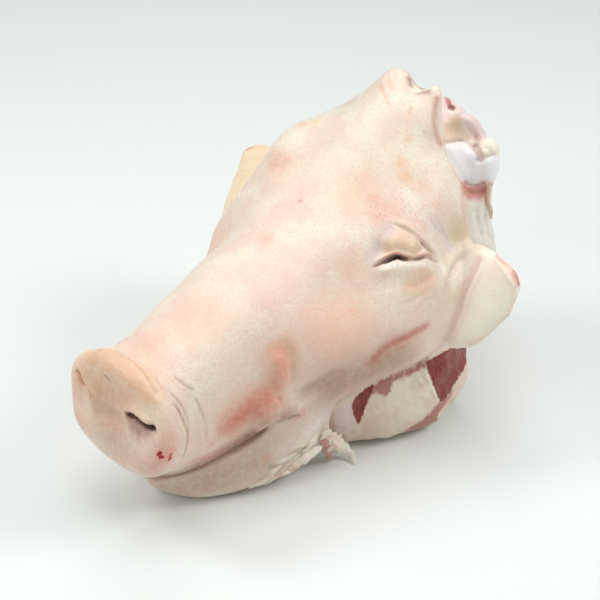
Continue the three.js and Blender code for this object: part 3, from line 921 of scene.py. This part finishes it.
# Soft valleys down the pale band, with their width and depth. Each one is painted with brownish shade
VALLEYS = [
    ([(474, 203), (477, 216), (481, 230), (484, 244)], 2.2, 0.9),
    ([(483, 206), (485, 220), (489, 235), (494, 247)], 1.6, 1.4),
]
# Places of the flesh near the contour, as for the skin
FLESH_NUDGES = [
    ((344, 97), 13, (1.2, -5.0)), ((487, 237), 11, (5.0, 0.0)), ((495, 249), 9, (4.6, 0.0)),
    ((460, 374), 13, (4.0, -1.0)), ((428, 424), 12, (2.0, -2.0)), ((448, 100), 6, (1.0, 1.6)),
    ((416, 89), 12, (0.0, -3.0)), ((430, 92), 9, (0.0, -1.4)), ((478, 126), 9, (0.6, 0.6)),
    ((485, 136), 8, (2.6, 2.4)), ((494, 146), 8, (2.8, 2.0)), ((497, 164), 9, (1.8, 0.2)),
    ((440, 408), 10, (1.2, -0.6)), ((360, 439), 11, (1.0, 2.6)), ((498, 250), 6, (3.4, -1.0)),
    ((462, 112), 8, (1.0, 2.4)), ((485, 139), 5, (-0.6, 1.4)), ((496, 142), 5, (0.9, 1.0)),
    ((493, 140), 4, (0.6, 1.4)), ((488, 150), 5, (-0.4, -0.8)),
]
# Dark clot beside the skin's edge, and the shaded strip along the notch
CLOT_PLACE, CLOT_SIZE = (452, 107), 3.0
NOTCH_STRIP = [(411, 88), (418, 88), (426, 89), (432, 90)]
# Painted shade on the flesh along the skin's cut edge over the jowl, where the edge overhangs it
UNDER_EDGE = [(440, 356), (424, 364), (408, 372), (392, 379), (376, 388), (364, 396), (353, 408),
              (342, 419), (332, 430)]
# Brown stain between the clot and the notch
STAIN_LINE = [(443, 94), (447, 99), (450, 105), (454, 112)]
# Pale sinews over the jowl's cut
SINEWS = [
    [(402, 371), (406, 381), (404, 390), (406, 397)],
    [(424, 366), (428, 378), (433, 390), (438, 402)],
    [(412, 382), (416, 386), (415, 391), (420, 389), (419, 394), (427, 396)],
    [(402, 374), (404, 382), (407, 390)],
    [(394, 377), (392, 388), (387, 396), (381, 398)],
    [(416, 372), (421, 380), (424, 392)],
]
# Lobes of fat: pixel, size and rise in millimetres
FAT_LOBES = [
    ((398, 405), 9, 1.2), ((418, 400), 7, 0.9), ((380, 412), 8, 0.8), ((372, 424), 7, 0.6),
    ((445, 375), 8, 0.7), ((360, 408), 5, 0.5),
]


def photo_pixels(points):
    """Where points on the pig lie in the photograph's frame"""
    from_camera = (points + ORIGIN) * MM - np.array(CAMERA_PLACE)
    depth = -(from_camera @ np.array(BACK))
    x = PHOTO_MIDDLE + FOCAL * (from_camera @ np.array(RIGHT)) / depth
    y = PHOTO_MIDDLE - FOCAL * (from_camera @ np.array(UP)) / depth
    return np.stack([x, y], axis=1)


def outline_depth(pixels, outline):
    """How far inside an outline each pixel lies; negative outside"""
    corners = np.array(outline, float)
    nearest = np.full(len(pixels), np.inf)
    inside = np.zeros(len(pixels), bool)
    for a, b in zip(corners, np.roll(corners, -1, axis=0)):
        span = b - a
        t = np.clip((pixels - a) @ span / (span @ span), 0, 1)
        nearest = np.minimum(nearest, np.linalg.norm(pixels - a - t[:, None] * span, axis=1))
        crosses = (a[1] > pixels[:, 1]) != (b[1] > pixels[:, 1])
        with np.errstate(divide="ignore", invalid="ignore"):
            inside ^= crosses & (pixels[:, 0] < a[0] + (pixels[:, 1] - a[1]) * span[0] / span[1])
    return np.where(inside, nearest, -nearest)


def paint_patches(surface):
    """Paints the patches on the near side and mirrors them to the far side"""
    for side in BOTH:
        pixels = photo_pixels(surface.points * (side, 1, 1))
        facing = smoothstep(-0.05, 0.2, (surface.normals * (side, 1, 1)) @ np.array(BACK))
        rise = np.zeros(len(pixels))
        for name, outlines in PATCHES.items():
            for outline in outlines:
                border = SOFT_BORDER if name in SOFT_PATCHES else FIRM_BORDER
                deep = outline_depth(pixels, outline)
                surface.paint(name, slice(None), np.clip(0.5 + deep / border, 0, 1) * facing)
                rise += PATCH_RISE[name] * smoothstep(0, PATCH_SLOPE, deep)
        surface.points += surface.normals * (rise * facing)[:, None]


# Waves that are laid over one another in a ripple
RIPPLE_WAVES = 9


def ripple(points, size, seed):
    """Smooth uneven field from a few crossing waves about size millimetres long, about -1 to 1"""
    rng = np.random.default_rng(seed)
    total = np.zeros(len(points))
    for _ in range(RIPPLE_WAVES):
        direction = rng.normal(size=3)
        direction /= np.linalg.norm(direction)
        waves = 2 * np.pi / (size * rng.uniform(0.7, 1.4))
        total += np.sin(points @ direction * waves + rng.uniform(0, 6.3))
    return total / math.sqrt(RIPPLE_WAVES)


# Z over which the neck stump is smoothed further
STUMP = (92, 110)
# Waves of the fat: length, height and seed. They die out at the floor and up the neck
FAT_WAVES = [(16, 0.5, 4), (7, 0.25, 5)]
FAT_LOW, FAT_HIGH = (0, 6), (150, 90)
# Z over which the flesh turns fresher, and how much that height wanders
FRESH_FROM, FRESH_WAVE, FRESH_SEED = (84, 116), (42, 12), 8
# How far the cut at the back is sunk, and its waves: length, share and seed
BACK_SUNK = 1.4
BACK_WAVES = [(30, 1.0, 6), (12, 0.5, 9)]
# Finer quads of the flesh: what lies this near to its seams and sinews
SEAMS_REACH = 3


def raise_fat(meat):
    """Lobes of the fat, and its uneven surface"""
    lobes = [(meat.seen([pixel])[0], size, rise) for pixel, size, rise in FAT_LOBES]
    for place, size, rise in lobes:
        for side in BOTH:
            meat.points += meat.normals * (rise * bell(meat.distance(place, side), size))[:, None]
    uneven = sum(ripple(meat.points, length, seed) * height for length, height, seed in FAT_WAVES)
    off_floor = smoothstep(*FAT_LOW, meat.points[:, 2]) * smoothstep(*FAT_HIGH, meat.points[:, 2])
    meat.points += meat.normals * (uneven * off_floor)[:, None]
    meat.refresh()


def sink_back(meat):
    """Uneven cut at the back, and where the flesh is fresher"""
    length, height = FRESH_WAVE
    level = meat.points[:, 2] + ripple(meat.points, length, FRESH_SEED) * height
    meat.paint("fresh", slice(None), smoothstep(*FRESH_FROM, level))
    back = smoothstep(0.4, 0.75, meat.normals[:, 1])
    meat.paint("back", slice(None), back)
    sunk = BACK_SUNK
    for length, share, seed in BACK_WAVES:
        sunk = sunk - share * ripple(meat.points, length, seed)
    meat.points[:, 1] -= np.maximum(sunk, 0) * back


def make_flesh():
    flesh = remeshed(merged_copy("flesh"), "pig_flesh", FLESH_VOXEL)
    meat = Surface(flesh)
    meat.soften(8)
    meat.soften(60, smoothstep(*STUMP, meat.points[:, 2]))
    nudge(meat, FLESH_NUDGES)
    meat.sight()
    fine = meat.lines(SINEWS + [pixels for pixels, *_ in SEAMS], 2)
    meat.refine(meat.within(fine, SEAMS_REACH))
    meat.sight()
    sinews = meat.lines(SINEWS)
    raise_fat(meat)
    meat.sight()
    clot = meat.seen([CLOT_PLACE])[0]
    stain, notch, under = meat.lines([STAIN_LINE, NOTCH_STRIP, UNDER_EDGE])
    seams = meat.line_rows(SEAMS)
    valleys = meat.line_rows(VALLEYS)
    sink_back(meat)
    paint_patches(meat)
    for line in sinews:
        meat.ridge(line, 0.5, 1.2)
        meat.stroke("sinew", line, 0.75, 0.9)
    # Each seam is creased and painted with shade in its gap
    for line, width, depth, dark in seams:
        meat.crease(line, width, depth)
        meat.stroke("seam", line, width, dark)
    # Each valley is creased and painted with brownish shade
    for line, width, depth in valleys:
        meat.crease(line, width, depth)
        meat.stroke("shade", line, width * 1.2, 0.55, fade=0.35)
    meat.stroke("brown_and_shade", stain, 2.4, 0.9, sides=NEAR)
    # Painted shade on the flesh under the skin's cut edge
    meat.stroke("brown_and_shade", under[:3 * len(under) // 4], 3.4, 0.7, fade=0.2)
    # Painted shade along the notch strip, and the clot's own dark colour
    meat.stroke("seam", notch, 2.0, 0.7, fade=0.1, sides=NEAR)
    meat.blot("seam", clot, CLOT_SIZE, 1.0, sides=NEAR)
    meat.refresh()
    keep_inside(meat)
    meat.keep_masks()
    return flesh


# Membranes torn loose at the jaw: pixel, height above the floor and width along each one's middle;
# without a height the place lies on the skin
TORN_WHITE = [
    [((325, 431), 31, 5), ((329, 437), 25, 11), ((334, 442), 17, 12), ((341, 446), 10.5, 9),
     ((348, 451), 5.5, 5.5), ((352, 456), 3.0, 3.4), ((356, 464), 1.0, 0.6)],
    [((248, 487), None, 2), ((257, 483), None, 4), ((266, 478), None, 4.5), ((274, 471), None, 3.4),
     ((281, 465), None, 1.4)],
    [((289, 469), None, 1.5), ((297, 463), None, 4.5), ((306, 457), None, 6.5), ((315, 450), None, 6),
     ((322, 443), None, 2.4)],
    [((282, 475), None, 1.0), ((288, 472), None, 2.6), ((294, 469), None, 2.2), ((300, 466), None, 0.8)],
    [((302, 452), None, 1.2), ((307, 448), None, 3.2), ((311, 443), None, 3.0), ((315, 438), None, 1.2)],
    [((256, 487), None, 1.0), ((263, 484), None, 2.4), ((270, 480), None, 2.2), ((277, 476), None, 0.8)],
    [((270, 466), None, 1.2), ((279, 461), None, 2.6), ((288, 457), None, 2.8), ((296, 452), None, 1.2)],
]
TORN_RED = [
    [((324, 440), 25, 5), ((326, 446), 17, 6), ((328, 451), 10, 4.5), ((329, 456), 5, 3),
     ((330, 461), 1.2, 0.6)],
]
# Thin strip that hangs from the cut neck
NECK_STRIP = [
    [((491, 182), None, 2.6), ((488, 191), None, 2.2), ((487.5, 201), None, 2.0), ((489.5, 208), None, 2.4),
     ((491, 213), None, 3.2), ((492, 218), None, 1.0)],
]
# Share of its width by which a ribbon's edges are ragged, its bulge as a share of its width, and how
# far it lies off the skin and is crumpled, in millimetres. Narrower ones than this are crumpled less
RAGGED, BULGE = 0.42, 0.25
LIFT, CRUMPLE = 0.5, 0.5
CRUMPLE_WIDTH = 4
# Quads across a ribbon
RIBBON_QUADS = 6


def at_height(pixel, height):
    """Place at this height above the floor that the photograph shows at a pixel"""
    x, y = (np.array(pixel, float) - PHOTO_MIDDLE) / FOCAL
    ray = np.array(RIGHT * x - UP * y - BACK)
    eye = np.array(CAMERA_PLACE) / MM - ORIGIN
    return eye + ray * ((height - eye[2]) / ray[2])


def make_ribbons(name, ribbons, on, thickness, ragged=RAGGED):
    """Thin uneven ribbons; on is the surface that places without a height lie on"""
    rng = np.random.default_rng(7)
    back = np.array(BACK)
    bm = bmesh.new()
    for ribbon in ribbons:
        places = [on.seen([pixel])[0] + back * LIFT if height is None else at_height(pixel, height)
                  for pixel, height, _ in ribbon]
        middle = smooth_line(np.array(places), 4)
        rows = len(middle)
        shares = np.linspace(0, 1, rows)
        widths = np.interp(shares, np.linspace(0, 1, len(ribbon)), [width for _, _, width in ribbon])
        edges = 1 + ragged * rng.uniform(-1, 0.6, (rows, 2))
        along = np.gradient(middle, axis=0)
        across = np.cross(along, back)
        across /= np.linalg.norm(across, axis=1)[:, None]
        grid = bmesh.ops.create_grid(bm, x_segments=rows - 1, y_segments=RIBBON_QUADS, size=0.5)
        for vert in grid["verts"]:
            row = round((vert.co.x + 0.5) * (rows - 1))
            share = vert.co.y * edges[row, int(vert.co.y > 0)]
            bulge = BULGE * widths[row] * (1 - 4 * vert.co.y ** 2)
            bulge += CRUMPLE * min(1, widths[row] / CRUMPLE_WIDTH) * rng.normal()
            vert.co = metres(middle[row] + across[row] * widths[row] * share + back * bulge)
    bmesh.ops.recalc_face_normals(bm, faces=bm.faces)
    piece = new_object(name, mesh_from(bm, name))
    wall = piece.modifiers.new("thickness", "SOLIDIFY")
    wall.thickness = thickness * MM
    wall.offset = 0
    smooth = piece.modifiers.new("smooth", "SUBSURF")
    smooth.levels = smooth.render_levels = 2
    apply_modifiers(piece)
    return piece


def make_eye(node, side):
    bm = bmesh.new()
    bmesh.ops.create_uvsphere(bm, u_segments=48, v_segments=32, radius=EYE_BALL * MM)
    bmesh.ops.translate(bm, vec=metres(EYE_PLACE * (side, 1, 1)), verts=bm.verts)
    return new_object(node + "_ball", mesh_from(bm, node + "_ball"))


# Finishes

def linear(colour):
    """Scene-linear colour of an sRGB colour given from 0 to 255"""
    c = np.array(colour, float) / 255
    return tuple(np.where(c <= 0.04045, c / 12.92, ((c + 0.055) / 1.055) ** 2.4)) + (1.0,)


class Nodes:
    """A node tree, with a short call for each kind of node the finishes use"""

    def __init__(self, tree):
        self.tree = tree

    def add(self, kind, inputs, **settings):
        node = self.tree.nodes.new("ShaderNode" + kind)
        for name, value in settings.items():
            setattr(node, name, value)
        for socket, value in inputs.items():
            if isinstance(value, bpy.types.NodeSocket):
                self.tree.links.new(value, node.inputs[socket])
            else:
                node.inputs[socket].default_value = value
        return node

    def place(self):
        return self.add("TexCoord", {}).outputs["Object"]

    def mask(self, name):
        return self.add("Attribute", {}, attribute_name=name).outputs["Fac"]

    def noise(self, size, detail=3.0, roughness=0.55, stretch=(1, 1, 1)):
        """Noise whose lumps are about size millimetres across"""
        place = self.add("Mapping", {"Vector": self.place(), "Scale": stretch}).outputs["Vector"]
        inputs = {"Vector": place, "Scale": 1 / (size * MM), "Detail": detail, "Roughness": roughness}
        return self.add("TexNoise", inputs).outputs["Fac"]

    def cells(self, size, randomness=1.0):
        """Distance from the nearest of many scattered points about size millimetres apart"""
        inputs = {"Vector": self.place(), "Scale": 1 / (size * MM), "Randomness": randomness}
        return self.add("TexVoronoi", inputs).outputs["Distance"]

    def group(self, tree, inputs):
        """Outputs of a node group used here"""
        node = self.add("Group", {}, node_tree=tree)
        for socket, value in inputs.items():
            node.inputs[socket].default_value = value
        return node.outputs

    def ramp(self, value, low, high, start=0.0, end=1.0):
        inputs = {"Value": value, "From Min": low, "From Max": high, "To Min": start, "To Max": end}
        return self.add("MapRange", inputs, interpolation_type="SMOOTHSTEP").outputs["Result"]

    def math(self, operation, a, b=0.0):
        return self.add("Math", {0: a, 1: b}, operation=operation).outputs[0]

    def mix(self, amount, under, over):
        return self.add("Mix", {0: amount, 6: under, 7: over}, data_type="RGBA").outputs[2]


# What the tissue group puts out: how many times its size each noise's lumps are, with its detail
TISSUE_NOISES = [("Patches", 7.0, 4.0), ("Mottle", 1.0, 4.0), ("Grain", 0.35, 3.0)]


def tissue_group():
    """Uneven fields that skin, flesh and torn pieces share, for lumps of a size in millimetres"""
    tree = bpy.data.node_groups.new("tissue", "ShaderNodeTree")
    tree.interface.new_socket("Size", in_out="INPUT", socket_type="NodeSocketFloat")
    for name, _, _ in TISSUE_NOISES:
        tree.interface.new_socket(name, in_out="OUTPUT", socket_type="NodeSocketFloat")
    nodes = Nodes(tree)
    size = tree.nodes.new("NodeGroupInput").outputs["Size"]
    out = tree.nodes.new("NodeGroupOutput")
    for name, times, detail in TISSUE_NOISES:
        scale = nodes.math("DIVIDE", 1 / (times * MM), size)
        inputs = {"Vector": nodes.place(), "Scale": scale, "Detail": detail, "Roughness": 0.62}
        tree.links.new(nodes.add("TexNoise", inputs).outputs["Fac"], out.inputs[name])
    return tree


def new_material(name):
    material = bpy.data.materials.new(name)
    material.use_nodes = True
    return material, Nodes(material.node_tree), material.node_tree.nodes["Principled BSDF"].inputs


def soft_tissue(shader, scale, weight):
    """Light that soaks a little way into skin and fat"""
    shader["Subsurface Weight"].default_value = weight
    shader["Subsurface Radius"].default_value = (1.0, 0.45, 0.3)
    shader["Subsurface Scale"].default_value = scale * MM


# Each tint laid over the skin: its mask, colour and greatest strength. Some are painted shade or light, as
# noted beside them
SKIN_TINTS = [
    # The ivory and wax tints are partly the flaps' paler colour, partly painted light
    ("wax_and_light", (252, 232, 194), 0.95), ("ivory_and_light", (255, 244, 228), 1.0),
    ("pink", (239, 197, 181), 0.85), ("tan", (238, 192, 152), 0.9),
    # The dark brownish tint is painted shade; the olive one is partly painted shade
    ("painted_shade", (178, 138, 114), 0.9), ("olive_and_shade", (220, 202, 164), 0.85), ("lilac", (220, 204, 204), 0.8),
    ("blush", (226, 136, 108), 0.9), ("pale", (255, 250, 240), 0.9), ("raw", (196, 104, 84), 0.95),
    # The purple tint is painted shade; the dark line and pit tints are painted shade in creases, slits and
    # openings
    ("dermis", (208, 156, 134), 0.95), ("purple_shade", (150, 104, 102), 0.85), ("line", (112, 66, 52), 0.85),
    ("pit_shade", (44, 14, 12), 1.0),
]
CREAM = (246, 240, 221)
ROSE = (241, 223, 207)
FRECKLE = (226, 178, 156)
STUBBLE = (190, 112, 78)
CUT_FAT = (238, 222, 210)
CUT_PINK = (220, 184, 166)
BLOOD = (206, 16, 14)
CLOT = (84, 8, 10)


def skin_finish(tissue):
    material, nodes, shader = new_material("scalded pig skin")
    fields = nodes.group(tissue, {"Size": 3.4})
    mottle = fields["Mottle"]
    colour = nodes.mix(nodes.ramp(fields["Patches"], 0.4, 0.62), linear(CREAM), linear(ROSE))
    for mask, tint, strength in SKIN_TINTS:
        uneven = nodes.ramp(mottle, 0.3, 0.62, 0.72 * strength, strength)
        colour = nodes.mix(nodes.math("MULTIPLY", nodes.mask(mask), uneven), colour, linear(tint))
    bare = nodes.ramp(nodes.mask("ivory_and_light"), 0.2, 0.8, 1, 0.25)
    speckle = nodes.math("MULTIPLY", nodes.ramp(fields["Grain"], 0.42, 0.66, 0, 0.32), bare)
    colour = nodes.mix(speckle, colour, linear(FRECKLE))
    pores = nodes.ramp(nodes.cells(1.9), 0.24, 0.06)
    hairs = nodes.ramp(nodes.mask("stubble"), 0, 1, 0.16, 0.85)
    beard = nodes.math("MULTIPLY", nodes.math("MULTIPLY", pores, hairs), bare)
    colour = nodes.mix(beard, colour, linear(STUBBLE))
    raw_fat = nodes.mix(nodes.ramp(fields["Patches"], 0.4, 0.6), linear(CUT_FAT), linear(CUT_PINK))
    colour = nodes.mix(nodes.ramp(nodes.mask("cut"), 0.35, 0.65), colour, raw_fat)
    spot = nodes.math("ADD", nodes.mask("blood"), nodes.ramp(mottle, 0.3, 0.7, -0.25, 0.25))
    colour = nodes.mix(nodes.ramp(spot, 0.3, 0.5), colour, linear(BLOOD))
    colour = nodes.mix(nodes.ramp(spot, 0.7, 0.9), colour, linear(CLOT))
    nodes.tree.links.new(colour, shader["Base Color"])
    nodes.tree.links.new(nodes.ramp(mottle, 0.3, 0.7, 0.36, 0.52), shader["Roughness"])
    wrinkles = nodes.noise(1.6, 5, 0.6, (1, 0.5, 1))
    pebbles = nodes.ramp(nodes.cells(1.1), 0.0, 0.6)
    height = nodes.math("ADD", nodes.math("MULTIPLY", wrinkles, 0.45), nodes.math("MULTIPLY", mottle, 0.5))
    height = nodes.math("SUBTRACT", height, nodes.math("MULTIPLY", pores, 0.3))
    height = nodes.math("SUBTRACT", height, nodes.math("MULTIPLY", pebbles, 0.12))
    bump = nodes.add("Bump", {"Height": height, "Distance": 0.5 * MM, "Strength": 0.75})
    nodes.tree.links.new(bump.outputs["Normal"], shader["Normal"])
    shader["Coat Weight"].default_value = 0.12
    shader["Coat Roughness"].default_value = 0.35
    soft_tissue(shader, 3.0, 0.35)
    return material


# Tints of the flesh, as for the skin, with how ragged each one's border is. Some are painted shade, as noted
# beside them
FLESH_TINTS = [
    ("fresh", (246, 226, 214), 0.95, 0), ("veil", (238, 216, 210), 0.8, 0.15),
    # The brown tint is partly painted shade under the skin's cut edge
    ("brown_and_shade", (172, 84, 70), 0.8, 0.18), ("rim", (240, 214, 196), 0.9, 0.1),
    ("ridge", (248, 222, 218), 0.9, 0.08), ("amber", (252, 228, 202), 0.9, 0.14),
    ("slab", (254, 250, 252), 1.0, 0.04), ("cream", (253, 240, 222), 0.9, 0.06),
    ("band", (244, 240, 226), 0.9, 0.12), ("shade", (212, 188, 160), 0.8, 0.1),
    # The seam tint is painted shade in the seams' gaps and the notch strip, and the clot's own dark colour
    ("meat", (212, 138, 126), 0.9, 0.16), ("seam", (140, 84, 88), 0.85, 0.1),
]
FAT = (240, 226, 204)
FAT_PINK = (230, 206, 184)
MUSCLE = (122, 30, 24)
MUSCLE_PALE = (156, 58, 46)
CUT_MEAT = (196, 110, 98)
CUT_MEAT_PALE = (222, 156, 140)
SINEW = (244, 240, 228)


def flesh_finish(tissue):
    material, nodes, shader = new_material("raw jowl fat and muscle")
    fields = nodes.group(tissue, {"Size": 2.6})
    mottle = fields["Mottle"]
    colour = nodes.mix(nodes.ramp(fields["Patches"], 0.42, 0.62), linear(FAT), linear(FAT_PINK))
    fresh, *tints = FLESH_TINTS
    colour = nodes.mix(nodes.math("MULTIPLY", nodes.mask("fresh"), fresh[2]), colour, linear(fresh[1]))
    fibre = nodes.noise(1.2, 4, 0.6, (1, 1, 0.25))
    red = nodes.mix(nodes.ramp(fibre, 0.35, 0.65), linear(MUSCLE), linear(MUSCLE_PALE))
    sheets = nodes.noise(24, 3, 0.5, (1, 1, 0.6))
    inside = nodes.mix(nodes.ramp(fibre, 0.3, 0.7), linear(CUT_MEAT), linear(CUT_MEAT_PALE))
    shown = nodes.math("MULTIPLY", nodes.mask("back"), nodes.ramp(sheets, 0.5, 0.56))
    colour = nodes.mix(shown, colour, inside)
    seam = nodes.math("ABSOLUTE", nodes.math("SUBTRACT", nodes.noise(17, 2, 0.5), 0.5))
    tendon = nodes.math("MULTIPLY", nodes.mask("back"), nodes.ramp(seam, 0.02, 0.006, 0, 0.85))
    colour = nodes.mix(tendon, colour, linear(SINEW))
    for mask, tint, strength, ragged in tints:
        uneven = nodes.math("ADD", nodes.mask(mask), nodes.ramp(mottle, 0.3, 0.7, -ragged, ragged))
        colour = nodes.mix(nodes.ramp(uneven, 0.2, 0.8, 0, strength), colour, linear(tint))
    rough_edge = nodes.ramp(mottle, 0.3, 0.7, -0.14, 0.14)
    muscle = nodes.ramp(nodes.math("ADD", nodes.mask("muscle"), rough_edge), 0.4, 0.64)
    colour = nodes.mix(muscle, colour, red)
    colour = nodes.mix(nodes.ramp(nodes.mask("sinew"), 0.3, 0.6), colour, linear(SINEW))
    nodes.tree.links.new(colour, shader["Base Color"])
    nodes.tree.links.new(nodes.ramp(mottle, 0.3, 0.7, 0.3, 0.5), shader["Roughness"])
    height = nodes.math("ADD", nodes.math("MULTIPLY", mottle, 0.7), nodes.math("MULTIPLY", fibre, 0.4))
    bump = nodes.add("Bump", {"Height": height, "Distance": 0.7 * MM, "Strength": 0.6})
    nodes.tree.links.new(bump.outputs["Normal"], shader["Normal"])
    shader["Coat Weight"].default_value = 0.06
    shader["Coat Roughness"].default_value = 0.25
    soft_tissue(shader, 2.0, 0.2)
    return material


def eye_finish():
    material, nodes, shader = new_material("dull dark eye")
    colour = nodes.mix(nodes.ramp(nodes.noise(4, 2), 0.4, 0.6), linear((40, 16, 18)), linear((70, 40, 44)))
    nodes.tree.links.new(colour, shader["Base Color"])
    shader["Roughness"].default_value = 0.25
    shader["Coat Weight"].default_value = 0.2
    return material


def plain(name, colour, roughness):
    material, _, shader = new_material(name)
    shader["Base Color"].default_value = linear(colour)
    shader["Roughness"].default_value = roughness
    return material


def membrane_finish(tissue, name, main, patches):
    material, nodes, shader = new_material(name)
    fields = nodes.group(tissue, {"Size": 1.8})
    colour = nodes.mix(nodes.ramp(fields["Patches"], 0.45, 0.65), linear(main), linear(patches))
    nodes.tree.links.new(colour, shader["Base Color"])
    bump = nodes.add("Bump", {"Height": fields["Mottle"], "Distance": 0.5 * MM, "Strength": 0.6})
    nodes.tree.links.new(bump.outputs["Normal"], shader["Normal"])
    shader["Roughness"].default_value = 0.4
    soft_tissue(shader, 1.5, 0.3)
    return material


def dress(piece, material, slot, *nodes):
    piece.data.materials.clear()
    piece.data.materials.append(material)
    piece.data.shade_smooth()
    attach(piece, "root")
    if nodes:
        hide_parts(*nodes)


# Stage

# Area lights, which point at the middle of the floor: place and size in metres, and power
LIGHTS = {
    "overhead": ((0, 0.05, 1.4), 0.9, 6.9),
    "front right": ((0.84, -0.5, 1.3), 1.1, 1.4),
    "front low": ((-0.2, -1.0, 0.7), 0.6, 2.5),
    "right": ((0.78, 0.62, 0.95), 0.5, 6.2),
    "left": ((-0.75, -0.55, 1.1), 0.45, 5.3),
    "far": ((-0.55, 0.5, 1.15), 0.45, 1.8),
}
FLOOR = (236, 241, 239)
STUDIO, STUDIO_STRENGTH = (240, 244, 243), 0.22


def make_camera():
    data = bpy.data.cameras.new("camera")
    data.lens = CAMERA_LENS
    data.sensor_width = SENSOR
    camera = bpy.data.objects.new("camera", data)
    camera.location = CAMERA_PLACE
    camera.rotation_euler = BACK.to_track_quat("Z", "Y").to_euler()
    bpy.context.scene.collection.objects.link(camera)
    bpy.context.scene.camera = camera


def make_light(name, place, size, power):
    data = bpy.data.lights.new(name, "AREA")
    data.shape = "DISK"
    data.size = size
    data.energy = power
    light = bpy.data.objects.new(name, data)
    light.location = place
    light.rotation_euler = Vector(place).to_track_quat("Z", "Y").to_euler()
    bpy.context.scene.collection.objects.link(light)


def make_stage():
    bm = bmesh.new()
    bmesh.ops.create_grid(bm, x_segments=1, y_segments=1, size=6)
    floor = new_object("floor", mesh_from(bm, "floor"))
    floor.data.materials.append(plain("pale floor", FLOOR, 0.6))
    world = bpy.data.worlds.new("studio")
    world.use_nodes = True
    background = world.node_tree.nodes["Background"]
    background.inputs["Color"].default_value = linear(STUDIO)
    background.inputs["Strength"].default_value = STUDIO_STRENGTH
    bpy.context.scene.world = world
    bpy.context.scene.view_settings.view_transform = "Standard"
    for name, (place, size, power) in LIGHTS.items():
        make_light(name, place, size, power)


make_camera()
make_stage()
eye = eye_finish()
head = make_head()
flesh = make_flesh()
on_head, on_flesh = Surface(head), Surface(flesh)
on_head.sight()
on_flesh.sight()
tissue = tissue_group()
white = membrane_finish(tissue, "torn white membrane", (246, 234, 218), (236, 204, 184))
red = membrane_finish(tissue, "torn red flesh", (206, 140, 122), (232, 184, 160))
strip = membrane_finish(tissue, "neck strip", (246, 222, 198), (226, 180, 154))
dress(head, skin_finish(tissue), "skin", "head")
dress(flesh, flesh_finish(tissue), "flesh", "flesh")
dress(make_ribbons("torn_white", TORN_WHITE, on_head, 0.9), white, "skin")
dress(make_ribbons("torn_red", TORN_RED, on_head, 1.4), red, "flesh")
dress(make_ribbons("neck_strip", NECK_STRIP, on_flesh, 1.6, 0.1), strip, "flesh")
dress(make_eye("eye_left", 1), eye, "eye", "eye_left")
dress(make_eye("eye_right", -1), eye, "eye", "eye_right")

bpy.context.view_layer.update()
